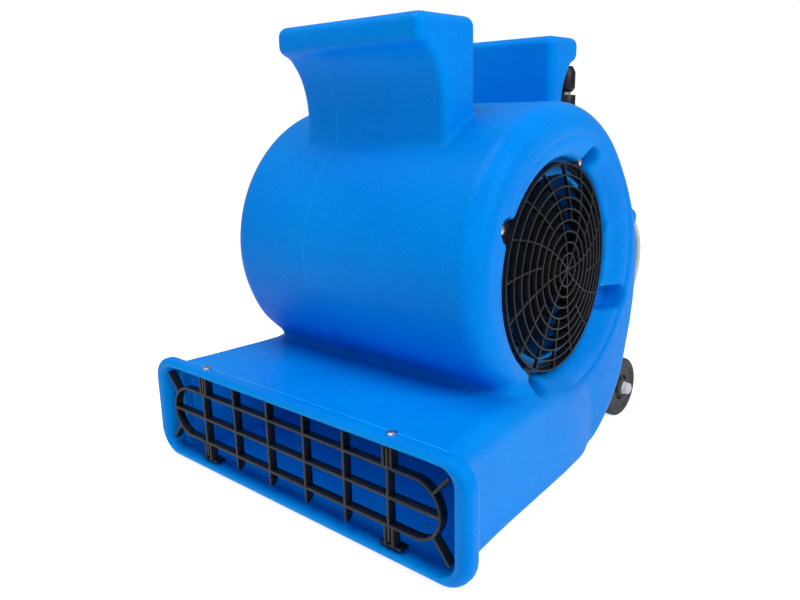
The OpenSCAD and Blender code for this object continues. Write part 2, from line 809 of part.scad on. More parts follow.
module transport_wheel(side) {
    mid = side * (wheel_in_x + wheel_w / 2);
    translate([0, axle_y, axle_z]) difference() {
        side_on(mid - wheel_w / 2) rotate_extrude() polygon(concat(
            [[axle_r + run_gap, 0], [wheel_r - 6, 0]],
            [for (a = [0:15:180]) [wheel_r - 6 + 6 * sin(a), wheel_w / 2 - (wheel_w / 2 - 0) * cos(a)]],
            [[axle_r + run_gap, wheel_w]]));
        for (face = [-1, 1])
            side_on(face > 0 ? mid + wheel_w / 2 - 8 : mid - wheel_w / 2 - 1)
                rotate_extrude() translate([12, 0]) square([12, 9]);
    }
}

module wheel_right() {
    color("#3c3e42") in_frame() transport_wheel(1);
}

module wheel_left() {
    color("#3c3e42") in_frame() transport_wheel(-1);
}

module wheel_axle() {
    color("silver") in_frame() translate([0, axle_y, axle_z]) rod_x(-axle_end_x, axle_end_x, axle_r);
}

module wheel_washers() {
    color("silver") in_frame() translate([0, axle_y, axle_z]) for (side = [-1, 1]) {
        tube_x_dir(side * (wheel_in_x - 4), side * (wheel_in_x - 0.3), 11, axle_r);
        tube_x_dir(side * (wheel_out_x + 0.3), side * (wheel_out_x + 2), 9, axle_r);
    }
}

// Domed push-on cap over each end of the axle
module axle_caps() {
    cap_r = 8;
    cap_h = axle_end_x - wheel_out_x - 2;
    dome_h = 4;
    color("gainsboro") in_frame() translate([0, axle_y, axle_z]) for (side = [-1, 1])
        translate([side * (wheel_out_x + 2 + eps), 0, 0]) rotate([0, side * 90, 0]) rotate_extrude()
            polygon(concat(
                [[axle_r, 0], [cap_r, 0]],
                [for (a = [0:15:90]) [cap_r * cos(a), cap_h + dome_h * sin(a)]],
                [[0, cap_h], [axle_r, cap_h]]));
}

module front_feet() {
    color("#1a1a1a") in_frame() for (x = [-150, 150]) translate([x, -205, 0]) difference() {
        union() {
            cylinder(r = 18, h = 3);
            translate([0, 0, 3 - eps]) cylinder(r1 = 18, r2 = 15, h = foot_h - 3);
        }
        translate([0, 0, -1]) cylinder(r = 5, h = 3.5);
        translate([0, 0, -1]) cylinder(r = 2.3, h = foot_h + 2);
    }
}

module foot_screws() {
    color("silver") in_frame() for (x = [-150, 150]) translate([x, -205, 2.45]) mirror([0, 0, 1]) pan_screw(2, 11, 4.4, 2.2);
}

// ---- Pull handle ----

module at_tubes() {
    for (side = [-1, 1]) translate([side * tube_x, tube_y, 0]) children();
}

module upright_tube(z0, z1, r, t) {
    difference() {
        translate([0, 0, z0]) cylinder(r = r, h = z1 - z0);
        translate([0, 0, z0 - 1]) cylinder(r = r - t, h = z1 - z0 + 2);
    }
}

module handle_outer_tubes() {
    color("silver") in_frame() for (side = [-1, 1]) translate([side * tube_x, tube_y, 0]) difference() {
        upright_tube(tube_bottom_z, outer_tube_top_z, outer_tube_r, outer_tube_wall);
        for (z = [pin_z, pin_z + handle_travel])
            translate([0, 0, z]) rotate([0, side * 90, 0]) cylinder(r = pin_r + 0.3, h = 20);
    }
}

module handle_inner_tubes() {
    color("gainsboro") in_frame() at_tubes() difference() {
        upright_tube(tube_bottom_z + 6, grip_z[0] + 12, inner_tube_r, inner_tube_wall);
        translate([-20, 0, pin_z]) rotate([0, 90, 0]) cylinder(r = pin_r + 0.1, h = 40);
    }
}

// Moulded saddle that ties both outer tubes to the housing, with pockets between its screw bosses
module handle_saddle(z0, z1, front_y) {
    h = z1 - z0;
    difference() {
        union() {
            at_tubes() translate([0, 0, z0]) cylinder(r = outer_tube_r + 5, h = h);
            translate([-tube_x - 8, front_y, z0]) cube([2 * tube_x + 16, tube_y + 8 - front_y, h]);
        }
        at_tubes() translate([0, 0, z0 - 1]) cylinder(r = outer_tube_r, h = h + 2);
    }
}

module handle_upper_bracket() {
    z0 = upper_bracket_z[0];
    front_y = rear_horn[1] - horn_waist;
    pocket_d = tube_y + 4 - (front_y + 8);
    color("#15191b") in_frame() difference() {
        handle_saddle(z0, upper_bracket_z[1], front_y);
        side_on(-80) linear_extrude(160) horn_outline(rear_horn[1], rear_horn[2], rear_horn_top_z, -0.05);
        for (x = [-24, 24], z = upper_screw_z)
            translate([x, front_y - 1, z]) rotate([-90, 0, 0]) cylinder(r = 2.7, h = tube_y + 10 - front_y);
        translate([-15, front_y + 8, z0 - 1]) cube([30, pocket_d, upper_bracket_z[1] - z0 - 4]);
        for (side = [-1, 1]) translate([side * 42 - 9, front_y + 8, z0 - 1])
            cube([18, tube_y - outer_tube_r - 6 - (front_y + 8), upper_bracket_z[1] - z0 - 4]);
    }
}

module handle_lower_bracket() {
    color("#15191b") in_frame() difference() {
        handle_saddle(lower_bracket_z[0] + eps, lower_bracket_z[1], rear_y(lower_bracket_z[0] + 30) + 4);
        for (x = [-24, 24]) translate([x, lower_screw_y, lower_bracket_z[1] - 20]) {
            cylinder(r = 5.2, h = 30);
            translate([0, 0, -30]) cylinder(r = 2.7, h = 31);
        }
    }
}

module handle_bracket_screws() {
    color("gainsboro") in_frame() {
        for (x = [-24, 24], z = upper_screw_z)
            translate([x, tube_y + 8.05, z]) rotate([-90, 0, 0]) pan_screw(2.5, 70, 5, 2.8);
        for (x = [-24, 24]) translate([x, lower_screw_y, lower_bracket_z[1] - 19.95]) pan_screw(2.5, 34, 4.8, 3);
    }
}

// Grip: a rounded bar across both tubes with a pocket in its top for the release button
module handle_grip() {
    h = grip_z[1] - grip_z[0];
    color("#15191b") in_frame() difference() {
        hull() for (x = [-1, 1])
            translate([x * (grip_half_w - grip_depth / 2), tube_y, grip_z[0]]) {
                translate([0, 0, 5]) cylinder(r = grip_depth / 2, h = h - 13, $fn = 48);
                cylinder(r = grip_depth / 2 - 4, h = h, $fn = 48);
            }
        at_tubes() translate([0, 0, grip_z[0] - 1]) cylinder(r = inner_tube_r, h = 13 + eps);
        translate([-button_half_w - 0.3, tube_y - 8.3, grip_z[1] - 12]) cube([2 * button_half_w + 0.6, 16.6, 20]);
        translate([-tube_x - 5, tube_y - 4, grip_z[0] + 12]) cube([2 * tube_x + 10, 8, 12]);
    }
}

module release_button() {
    color("#7a1f1f") in_frame() difference() {
        translate([-button_half_w, tube_y - 8, grip_z[1] - 7]) cube([2 * button_half_w, 16, 11]);
        for (x = [-12:6:12]) translate([x, tube_y - 9, grip_z[1] + 4]) rotate([-90, 0, 0]) cylinder(r = 1, h = 18);
    }
}

// Bridge under the button and a push rod down each inner tube
module release_rods() {
    bridge_z = grip_z[0] + 17;
    color("silver") in_frame() {
        translate([-tube_x - 3, tube_y - 3, bridge_z]) cube([2 * tube_x + 6, 6, 3]);
        translate([-4, tube_y - 3, bridge_z]) cube([8, 6, grip_z[1] - 7 - bridge_z - eps]);
        at_tubes() translate([0, 0, pin_z + 10]) cylinder(r = rod_r, h = bridge_z - pin_z - 9);
    }
}

module lock_pin(side) {
    tip = inner_tube_r - 0.3;
    translate([side * tube_x, tube_y, pin_z]) rotate([0, side * 90, 0]) {
        translate([0, 0, tip - 5]) cylinder(r = pin_r, h = 5);
        translate([0, 0, tip - 8]) cylinder(r = 4.5, h = 3 + eps);
    }
}

module lock_pin_right() {
    color("silver") in_frame() lock_pin(1);
}

module lock_pin_left() {
    color("silver") in_frame() lock_pin(-1);
}

// ---- Lifting bows ----

// A bent rod standing off the rear face on two round feet, each with a socket for the rod and two screw holes
module lifting_bow(side) {
    half = (bow_z[1] - bow_z[0]) / 2;
    arc_end_y = bow_seat_y + bow_foot_h + 2;
    rise = bow_out_y - arc_end_y;
    arc_r = (half * half + rise * rise) / (2 * rise);
    spread = asin(half / arc_r);
    translate([side * bow_x, bow_out_y - arc_r, (bow_z[0] + bow_z[1]) / 2]) rotate([90, 0, 90])
        rotate([0, 0, -spread]) rotate_extrude(angle = 2 * spread) translate([arc_r, 0]) circle(bow_r, $fn = 32);
    for (z = bow_z) translate([side * bow_x, bow_seat_y + 0.05, z]) rotate([-90, 0, 0]) {
        cylinder(r = bow_r + 1.3, h = bow_foot_h + 5);
        difference() {
            cylinder(r = 12, h = bow_foot_h);
            for (x = [-1, 1]) translate([x * bow_screw_x, 0, -1]) cylinder(r = 1.7, h = bow_foot_h + 2);
        }
    }
}

module lifting_bow_right() {
    color("silver") in_frame() lifting_bow(1);
}

module lifting_bow_left() {
    color("silver") in_frame() lifting_bow(-1);
}

module lifting_bow_screws() {
    color("gainsboro") in_frame() for (side = [-1, 1], z = bow_z, dx = [-1, 1])
        translate([side * bow_x + dx * bow_screw_x, bow_seat_y + bow_foot_h + 0.1, z]) rotate([-90, 0, 0])
            pan_screw(1.5, 16, 2.8, 1.8);
}

housing();
outlet_grille();
outlet_grille_screws();
inlet_grille_right();
inlet_grille_left();
inlet_grille_screws();
impeller();
impeller_hub();
hub_set_screw();
motor_shaft();
motor_rotor();
motor_stator();
motor_inner_bell();
motor_outer_bell();
motor_bearings();
motor_tie_bolts();
motor_mount();
motor_mount_screws();
run_capacitor();
capacitor_clip();
control_panel();
control_panel_screws();
rotary_switch();
speed_knob();
cord_gland();
power_cord();
power_plug();
cord_strap();
wheel_right();
wheel_left();
wheel_axle();
wheel_washers();
axle_caps();
front_feet();
foot_screws();
handle_outer_tubes();
handle_upper_bracket();
handle_lower_bracket();
handle_bracket_screws();
handle_inner_tubes();
handle_grip();
release_button();
release_rods();
lock_pin_right();
lock_pin_left();
lifting_bow_right();
lifting_bow_left();
lifting_bow_screws();
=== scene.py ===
"""Looks for a carpet-drying air mover: moulded housing, grilles, running gear, pull handle and cord.

Shapes are worked out in millimetres, with Y = 0 on the fan axis, and moved into the frame when meshed.
"""
import json
import math

import bmesh
import bpy
import numpy as np
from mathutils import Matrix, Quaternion, Vector


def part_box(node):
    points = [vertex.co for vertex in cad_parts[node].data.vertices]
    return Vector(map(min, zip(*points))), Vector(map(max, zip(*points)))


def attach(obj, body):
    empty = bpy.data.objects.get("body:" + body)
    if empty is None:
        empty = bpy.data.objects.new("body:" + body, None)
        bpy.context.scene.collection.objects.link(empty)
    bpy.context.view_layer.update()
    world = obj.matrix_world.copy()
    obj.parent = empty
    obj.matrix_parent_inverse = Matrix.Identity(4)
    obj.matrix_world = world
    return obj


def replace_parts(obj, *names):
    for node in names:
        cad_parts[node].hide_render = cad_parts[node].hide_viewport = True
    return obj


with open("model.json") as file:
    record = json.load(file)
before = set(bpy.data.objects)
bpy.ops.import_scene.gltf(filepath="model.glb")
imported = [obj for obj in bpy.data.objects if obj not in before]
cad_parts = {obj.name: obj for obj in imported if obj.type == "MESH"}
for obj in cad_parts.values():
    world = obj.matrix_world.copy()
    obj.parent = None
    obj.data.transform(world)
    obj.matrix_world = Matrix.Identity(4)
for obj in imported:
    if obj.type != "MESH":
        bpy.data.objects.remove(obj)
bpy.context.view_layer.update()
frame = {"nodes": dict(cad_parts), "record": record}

MM = 0.001
HUB_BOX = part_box("impeller_hub")
# Place of the working origin in the frame, metres: on the floor below the fan axis
WORK_ORIGIN = np.array([0, (HUB_BOX[0].y + HUB_BOX[1].y) / 2, 0])


def box_mm(node):
    """Lowest and highest corner of a CAD node about the working origin, in millimetres."""
    lo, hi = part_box(node)
    return (np.array(lo) - WORK_ORIGIN) / MM, (np.array(hi) - WORK_ORIGIN) / MM


def to_frame(points):
    """Points in millimetres about the working origin, as metres in the frame."""
    return np.asarray(points, float) * MM + WORK_ORIGIN


# ---- Driving dimensions, from the frame (millimetres) ----

SHELL_LO, SHELL_HI = box_mm("housing")
GRILLE_BACK = box_mm("outlet_grille")[1][1]
WHEEL_LO, WHEEL_HI = box_mm("wheel_right")
TUBES_LO, TUBES_HI = box_mm("handle_outer_tubes")
BOW_LO, BOW_HI = box_mm("lifting_bow_right")
HUB_LO, HUB_HI = box_mm("impeller_hub")
PANEL_LO, PANEL_HI = box_mm("control_panel")
PLUG_LO, PLUG_HI = box_mm("power_plug")
STRAP_LO, STRAP_HI = box_mm("cord_strap")
CORD_BACK = box_mm("power_cord")[1][1]

AXIS_Z = (HUB_LO[2] + HUB_HI[2]) / 2
HORN_TOP = SHELL_HI[2]
LIP_HALF_W = SHELL_HI[0]
LIP_Y = SHELL_LO[1]
LIP_BOTTOM = SHELL_LO[2]
SHELL_REAR = SHELL_HI[1]
AXLE_Y = (WHEEL_LO[1] + WHEEL_HI[1]) / 2
AXLE_Z = (WHEEL_LO[2] + WHEEL_HI[2]) / 2
TUBE_R = (TUBES_HI[1] - TUBES_LO[1]) / 2
TUBE_X = TUBES_HI[0] - TUBE_R

# ---- Housing sizes ----

VOXEL = 3.0
SLAB = 12
WALL = 6.5
FOOT_H = 6.0

SCROLL_HALF_W = 190.0
RIM_R = 26.0
# Radius of the scroll about the fan axis: angle from the rear upwards, radius
SCROLL = (
    (-57, 260), (-47, 249), (-35, 231), (-15, 212), (0, 203), (15, 193), (35, 185), (55, 185), (80, 185),
    (105, 183), (130, 182), (155, 180), (180, 176), (205, 168), (232, 162), (255, 205), (275, 247),
    (290, 267), (303, 260),
)
# Base and duct from the lip to the rear: place, half width, height of the top
DUCT = (
    (-300, 226, 130.5), (-238, 224, 130.5), (-212, 219.5, 131), (-150, 213, 131.5),
    (-70, 207, 130), (14, 200, 110), (60, 190, 90), (140, 150, 60),
)
DUCT_REAR = 97.0
DUCT_TOP_R = 24.0
DUCT_LOW_R = 9.0
DUCT_END_R = 50.0
DUCT_FILLET = 20.0

LIP_TOP = 133.5
LIP_BACK = -249.0
LIP_TOP_R = 28.0
LIP_LOW_R = 34.0
LIP_ROLL_R = 8.0
LIP_BACK_R = 6.0
LIP_CREASE = 3.0
MOUTH_HALF_W = 233.0
MOUTH_Z = (15.0, 124.5)
MOUTH_R = 18.0
MOUTH_EDGE = 4.0
MOUTH_OVERRUN = 3.0

# Horns: half width, outer plane, inner plane
FRONT_HORN = (108.0, -155.0, -60.0)
REAR_HORN = (77.0, 222.0, 152.0)
REAR_HORN_DROP = 3.0
HORN_BASE = 300.0
HORN_LIP_H = 31.0
HORN_SWEEP_H = 70.0
HORN_WAIST = 41.0
HORN_EDGE_R = 11.0
HORN_FILLET = 6.0
# Crease under the lip of a horn: depth, how far below the lip it lies, height, and reach round the side
HORN_CREASE = 0.9
HORN_CREASE_DROP = 3
HORN_CREASE_H = 5
HORN_CREASE_REACH = 60

RECESS_R = 124.0
RECESS_X = 168.0
RECESS_EDGE = 7.0
INLET_TILT = math.radians(3.0)
# Dish round the recess: full depth inside the first radius, fading to the second
DISH_R = (110.0, 146.0)
DISH_Y = 18.0
DISH_DEPTH = 14.0
DISH_FILLET = 10
DISH_SLOPE = 0.9
COLLAR_R = 104.0
COLLAR_X = 131.0
COLLAR_EDGE = 2.5
BORE_OVERRUN = 3
LUG_ANGLES = (63, 153, 243, 333)
LUG_RADIUS = 130.0
LUG_INNER = 100.0
LUG_FILLET = 6
# Pocket round each lug: its radius, and how far it runs on past the lug to the rear and up
LUG_POCKETS = ((11.5, 3, 4), (11.5, -3, 1), (11.5, -1, -3), (13.5, 28, 0))

PANEL_X = (PANEL_LO[0] + PANEL_HI[0]) / 2
PANEL_ANGLE = math.radians(42)
PANEL_R = 186.0
# Pad under the control panel: half width, half height, depth
PANEL_PAD = (46.0, 52.0, 26.0)
PAD_EDGE_R = 5
PAD_FILLET = 6
KNOB_Y = 16.0
GLAND_Y = -30.0
SWITCH_HOLE_R = 26
GLAND_HOLE_R = 11
PANEL_HOLE_DEPTH = 50

BLOCK_HALF_W = 134.0
BLOCK_Z = (7.0, 80.0)
BLOCK_FRONT = 100.0
BLOCK_EDGE_R = 12
BLOCK_FILLET = 6

BOW_X = (BOW_LO[0] + BOW_HI[0]) / 2
BOW_SEAT_Y = BOW_LO[1]
BOW_SEAT_DROP = 12.0
BOW_Z = (BOW_LO[2] + BOW_SEAT_DROP, BOW_HI[2] - BOW_SEAT_DROP)
BOSS_R = 15
BOSS_EDGE_R = 2.0
BOSS_ROOT_Y = 120
BOSS_FILLET = 5

# ---- Field shapes: negative inside, distance in millimetres ----

FAR_OUT = 1e3


def join(a, b, k):
    """Union of two fields with a fillet about k wide."""
    h = np.clip(0.5 + 0.5 * (b - a) / k, 0.0, 1.0)
    return b + (a - b) * h - k * h * (1.0 - h)


def cut(a, b, k):
    """Field a with b taken out, and the edge between them softened over k."""
    return -join(-a, b, k)


def meet(a, b, r):
    """Intersection of two fields whose shared edge has radius r."""
    return np.minimum(np.maximum(a, b), -r) + np.hypot(np.maximum(a + r, 0), np.maximum(b + r, 0))


def rounded_rect(x, z, half_w, z0, z1, top_r, low_r):
    """Upright rounded rectangle about the centre plane, with its own radius at the top and at the bottom."""
    mid = (z0 + z1) / 2
    r = np.where(z > mid, top_r, low_r)
    u = np.abs(x) - half_w + r
    v = np.abs(z - mid) - (z1 - z0) / 2 + r
    return np.minimum(np.maximum(u, v), 0) + np.hypot(np.maximum(u, 0), np.maximum(v, 0)) - r


def smooth_table(rows, at):
    """Values and slopes of a table at some places, joined by cubic curves."""
    rows = np.array(rows, float)
    xs, ys = rows[:, 0], rows[:, 1]
    slopes = np.empty_like(ys)
    slopes[1:-1] = (ys[2:] - ys[:-2]) / (xs[2:] - xs[:-2])
    slopes[0] = (ys[1] - ys[0]) / (xs[1] - xs[0])
    slopes[-1] = (ys[-1] - ys[-2]) / (xs[-1] - xs[-2])
    i = np.clip(np.searchsorted(xs, at, side="right") - 1, 0, len(xs) - 2)
    w = xs[i + 1] - xs[i]
    t = np.clip((at - xs[i]) / w, 0, 1)
    value = (ys[i] * (1 + 2 * t) * (1 - t) ** 2 + ys[i + 1] * t * t * (3 - 2 * t)
             + w * (slopes[i] * t * (1 - t) ** 2 - slopes[i + 1] * t * t * (1 - t)))
    slope = (6 * t * (1 - t) * (ys[i + 1] - ys[i]) / w
             + slopes[i] * (1 - t) * (1 - 3 * t) + slopes[i + 1] * t * (3 * t - 2))
    return value, slope


def scroll(x, y, z, inset=0.0):
    """Snail-shaped drum with round rims, standing on a flat foot."""
    up = z - AXIS_Z
    rho = np.hypot(y, up)
    angle = np.degrees(np.arctan2(up, y))
    angle = np.where(angle < SCROLL[0][0], angle + 360, angle)
    radius, slope = smooth_table(SCROLL, angle)
    lean = slope * 180 / math.pi / radius
    round_wall = (rho - radius) / np.sqrt(1 + lean * lean)
    drum = meet(round_wall + inset, np.abs(x) - SCROLL_HALF_W + inset, RIM_R - inset)
    return meet(drum, FOOT_H + inset - z, DUCT_LOW_R - inset / 2)


def duct(x, y, z, inset=0.0):
    """Base of the housing, which runs forward as the outlet duct and widens to the lip."""
    half_w = smooth_table([(row[0], row[1]) for row in DUCT], y)[0] - inset
    top = smooth_table([(row[0], row[2]) for row in DUCT], y)[0] - inset
    section = rounded_rect(x, z, half_w, FOOT_H + inset, top, DUCT_TOP_R - inset, DUCT_LOW_R - inset / 2)
    rear = meet(section, y - DUCT_REAR + inset, DUCT_END_R - inset)
    return meet(rear, LIP_BACK - y, 1.0) if inset == 0 else rear


def lip(x, y, z):
    """Rolled flange round the outlet."""
    ring = rounded_rect(x, z, LIP_HALF_W, LIP_BOTTOM, LIP_TOP, LIP_TOP_R, LIP_LOW_R)
    return meet(meet(ring, LIP_Y - y, LIP_ROLL_R), y - LIP_BACK, LIP_BACK_R)


def mouth(x, y, z):
    """Opening of the lip, which widens from the mouth to the inside of the duct."""
    t = np.clip((y - LIP_Y) / (DUCT[1][0] - LIP_Y), 0, 1)
    half_w = MOUTH_HALF_W + t * (DUCT[1][1] - WALL - MOUTH_HALF_W)
    low = MOUTH_Z[0] + t * (FOOT_H + WALL - MOUTH_Z[0])
    high = MOUTH_Z[1] + t * (DUCT[1][2] - WALL - MOUTH_Z[1])
    top_r = MOUTH_R + t * (DUCT_TOP_R - WALL - MOUTH_R)
    low_r = MOUTH_R + t * (DUCT_LOW_R - MOUTH_R)
    ring = rounded_rect(x, z, half_w, low, high, top_r, low_r)
    return np.maximum(ring, y - DUCT[1][0] - MOUTH_OVERRUN)


def horn(x, y, z, half_w, outer_y, inner_y, top, inset=0.0):
    """Flat-sided horn with a hollow outer face under a rolled lip."""
    out = 1.0 if outer_y > inner_y else -1.0
    depth = (outer_y - y) * out - inset
    block = meet(np.abs(x) - half_w + inset, -depth, HORN_EDGE_R)
    block = meet(block, (inner_y - y) * out + inset, HORN_EDGE_R)
    block = meet(block, z - top + inset, HORN_EDGE_R - inset / 2)
    up = np.maximum(z - (top - HORN_LIP_H - HORN_SWEEP_H), 0)
    a, b = HORN_WAIST, HORN_SWEEP_H
    k0 = np.hypot(depth / a, up / b)
    k1 = np.hypot(depth / (a * a), up / (b * b)) + 1e-9
    hollow = np.where(depth > 0, k0 * (k0 - 1) / k1, np.maximum(up - b, -a))
    block = cut(block, hollow - inset, HORN_EDGE_R)
    if inset == 0:
        rolled = np.exp(-((z - top + HORN_LIP_H + HORN_CREASE_DROP) / HORN_CREASE_H) ** 2)
        block = block + HORN_CREASE * rolled * np.clip(1 - depth / HORN_CREASE_REACH, 0, 1)
    return np.maximum(block, HORN_BASE - inset - z)


def on_panel(x, y, z):
    """Coordinates on the control panel: across it, up it and out of it."""
    c, s = math.cos(PANEL_ANGLE), math.sin(PANEL_ANGLE)
    v, w = y - PANEL_R * c, z - AXIS_Z - PANEL_R * s
    return PANEL_X - x, -v * s + w * c, v * c + w * s


def rounded_block(u, v, w, half_u, half_v, half_w, r):
    """Box with rounded edges about the origin."""
    a, b, c = np.abs(u) - half_u + r, np.abs(v) - half_v + r, np.abs(w) - half_w + r
    out = np.sqrt(np.maximum(a, 0) ** 2 + np.maximum(b, 0) ** 2 + np.maximum(c, 0) ** 2)
    return np.minimum(np.maximum(a, np.maximum(b, c)), 0) + out - r


def panel_pad(x, y, z):
    """Flat pad on the shoulder that carries the control panel."""
    u, v, w = on_panel(x, y, z)
    return rounded_block(u, v, w + PANEL_PAD[2] / 2, PANEL_PAD[0], PANEL_PAD[1], PANEL_PAD[2] / 2, PAD_EDGE_R)


def axle_block(x, y, z, inset=0.0):
    """Block at the rear foot that carries the axle between the wheels."""
    mid_y, mid_z = (BLOCK_FRONT + SHELL_REAR) / 2, sum(BLOCK_Z) / 2
    half_y, half_z = (SHELL_REAR - BLOCK_FRONT) / 2, (BLOCK_Z[1] - BLOCK_Z[0]) / 2
    return rounded_block(x, y - mid_y, z - mid_z,
                         BLOCK_HALF_W - inset, half_y - inset, half_z - inset, BLOCK_EDGE_R - inset)


def bow_bosses(x, y, z):
    """Round bosses that the lifting bows are screwed to."""
    field = np.full(np.shape(x), FAR_OUT)
    for seat_z in BOW_Z:
        r = np.hypot(np.abs(x) - BOW_X, z - seat_z)
        boss = meet(r - BOSS_R, y - BOW_SEAT_Y, BOSS_EDGE_R)
        field = np.minimum(field, meet(boss, BOSS_ROOT_Y - y, 1.0))
    return field


def segment(u, v, a, b):
    """Distance in a plane from the line between two points."""
    du, dv = b[0] - a[0], b[1] - a[1]
    t = np.clip(((u - a[0]) * du + (v - a[1]) * dv) / (du * du + dv * dv), 0, 1)
    return np.hypot(u - a[0] - t * du, v - a[1] - t * dv)


def inlet_frame(x, y):
    """How far out of the tilted inlet seat a point is, and how far to the rear along it."""
    c, t = math.cos(INLET_TILT), math.sin(INLET_TILT)
    side = np.abs(x) - RECESS_X
    return side * c + y * t, y * c - side * t


def lug_pockets(along_y, up):
    """Distance from the pockets that hold the lugs of the inlet grille."""
    nearest = np.full(np.shape(up), FAR_OUT)
    for angle, (radius, rearward, upward) in zip(LUG_ANGLES, LUG_POCKETS):
        c, s = math.cos(math.radians(angle)), math.sin(math.radians(angle))
        lug_y, lug_z = LUG_RADIUS * c, LUG_RADIUS * s
        inner = segment(along_y, up, (LUG_INNER * c, LUG_INNER * s), (lug_y, lug_z))
        outer = segment(along_y, up, (lug_y, lug_z), (lug_y + rearward, lug_z + upward))
        nearest = np.minimum(nearest, np.minimum(inner, outer) - radius)
    return nearest


def inlet_cut(x, y, z):
    """Recess for the inlet grille with its screw pockets, and the bore of the collar behind it."""
    out, along_y = inlet_frame(x, y)
    up = z - AXIS_Z
    ring = join(np.hypot(along_y, up) - RECESS_R, lug_pockets(along_y, up), LUG_FILLET)
    recess = np.maximum(ring, -out)
    bore = np.maximum(np.hypot(y, up) - COLLAR_R, COLLAR_X - BORE_OVERRUN - np.abs(x))
    return recess, bore


def side_dish(x, y, z):
    """Shallow dish in each side wall round the recess, deepest at its rear."""
    rho = np.hypot(y - DISH_Y, z - AXIS_Z)
    t = np.clip((DISH_R[1] - rho) / (DISH_R[1] - DISH_R[0]), 0, 1)
    depth = DISH_DEPTH * t * t * (3 - 2 * t)
    return np.maximum(SCROLL_HALF_W - depth - np.abs(x), rho - DISH_R[1]) * DISH_SLOPE


def inlet_seat(x, y, z):
    """Wall round the recess, and the collar that leads air from it to the fan."""
    out, along_y = inlet_frame(x, y)
    up = z - AXIS_Z
    seat = np.minimum(np.hypot(along_y, up) - RECESS_R, lug_pockets(along_y, up)) - WALL
    seat = np.maximum(seat, -WALL - out)
    collar = np.hypot(y, up) - COLLAR_R - WALL
    collar = np.maximum(collar, np.maximum(COLLAR_X - np.abs(x), out))
    return np.minimum(seat, collar)


def housing_field(x, y, z):
    """The whole moulded shell: outside shapes, hollowed by their own insides, then opened."""
    rear_top = HORN_TOP - REAR_HORN_DROP
    outside = cut(scroll(x, y, z), side_dish(x, y, z), DISH_FILLET)
    outside = join(outside, duct(x, y, z), DUCT_FILLET)
    outside = join(outside, horn(x, y, z, *FRONT_HORN, HORN_TOP), HORN_FILLET)
    outside = join(outside, horn(x, y, z, *REAR_HORN, rear_top), HORN_FILLET)
    outside = join(outside, panel_pad(x, y, z), PAD_FILLET)
    outside = join(outside, axle_block(x, y, z), BLOCK_FILLET)
    outside = join(outside, bow_bosses(x, y, z), BOSS_FILLET)
    outside = join(outside, lip(x, y, z), LIP_CREASE)
    inside = cut(scroll(x, y, z, WALL), side_dish(x, y, z) - WALL, DISH_FILLET)
    inside = np.minimum(inside, duct(x, y, z, WALL))
    inside = np.minimum(inside, horn(x, y, z, *FRONT_HORN, HORN_TOP, WALL))
    inside = np.minimum(inside, horn(x, y, z, *REAR_HORN, rear_top, WALL))
    inside = np.minimum(inside, axle_block(x, y, z, WALL))
    shell = np.maximum(outside, -inside)
    shell = cut(shell, mouth(x, y, z), MOUTH_EDGE)
    recess, bore = inlet_cut(x, y, z)
    shell = np.minimum(shell, np.maximum(inlet_seat(x, y, z), outside + 1))
    shell = cut(shell, recess, RECESS_EDGE)
    shell = cut(shell, bore, COLLAR_EDGE)
    u, v, w = on_panel(x, y, z)
    hole = np.minimum(np.hypot(u, v - KNOB_Y) - SWITCH_HOLE_R, np.hypot(u, v - GLAND_Y) - GLAND_HOLE_R)
    return np.maximum(shell, -np.maximum(hole, -PANEL_HOLE_DEPTH - w))


# ---- Meshes from fields ----


def surface_net(field, origin, step):
    """Closed quad mesh on the zero level of a field sampled on a grid."""
    inside = field < 0
    shape = np.array(field.shape)
    cells = tuple(shape - 1)
    count = np.zeros(cells, np.uint8)
    corners = [(i, j, k) for i in (0, 1) for j in (0, 1) for k in (0, 1)]
    for i, j, k in corners:
        count += inside[i:i + cells[0], j:j + cells[1], k:k + cells[2]]
    ci, cj, ck = np.nonzero((count > 0) & (count < 8))
    index = np.full(cells, -1, np.int64)
    index[ci, cj, ck] = np.arange(len(ci))
    total = np.zeros((len(ci), 3))
    hits = np.zeros(len(ci))
    for a in corners:
        for axis in range(3):
            if a[axis]:
                continue
            b = list(a)
            b[axis] = 1
            fa = field[ci + a[0], cj + a[1], ck + a[2]]
            fb = field[ci + b[0], cj + b[1], ck + b[2]]
            crosses = (fa < 0) != (fb < 0)
            t = np.where(crosses, fa / np.where(crosses, fa - fb, 1), 0)
            spot = np.tile(np.array(a, float), (len(ci), 1))
            spot[:, axis] += t
            total += spot * crosses[:, None]
            hits += crosses
    points = (total / hits[:, None] + np.stack([ci, cj, ck], 1)) * step + origin
    quads = []
    for axis in range(3):
        ahead = np.take(inside, range(1, shape[axis]), axis)
        here = np.take(inside, range(shape[axis] - 1), axis)
        ei, ej, ek = np.nonzero(ahead != here)
        p, q = [n for n in range(3) if n != axis]
        e = np.stack([ei, ej, ek], 1)
        keep = (e[:, p] > 0) & (e[:, q] > 0) & (e[:, p] < cells[p]) & (e[:, q] < cells[q])
        e = e[keep]
        ring = []
        for dp, dq in ((0, 0), (-1, 0), (-1, -1), (0, -1)):
            c = e.copy()
            c[:, p] += dp
            c[:, q] += dq
            ring.append(index[c[:, 0], c[:, 1], c[:, 2]])
        quad = np.stack(ring, 1)
        flip = here[e[:, 0], e[:, 1], e[:, 2]] == (axis == 1)
        quad[flip] = quad[flip][:, ::-1]
        quads.append(quad)
    return points, np.concatenate(quads)


def gradient(field, p, h=0.25):
    """Slope of a field at some points, measured over h to either side."""
    g = np.empty_like(p)
    for axis in range(3):
        d = np.zeros(3)
        d[axis] = h
        ahead, behind = p + d, p - d
        g[:, axis] = field(*ahead.T) - field(*behind.T)
    return g / (2 * h)


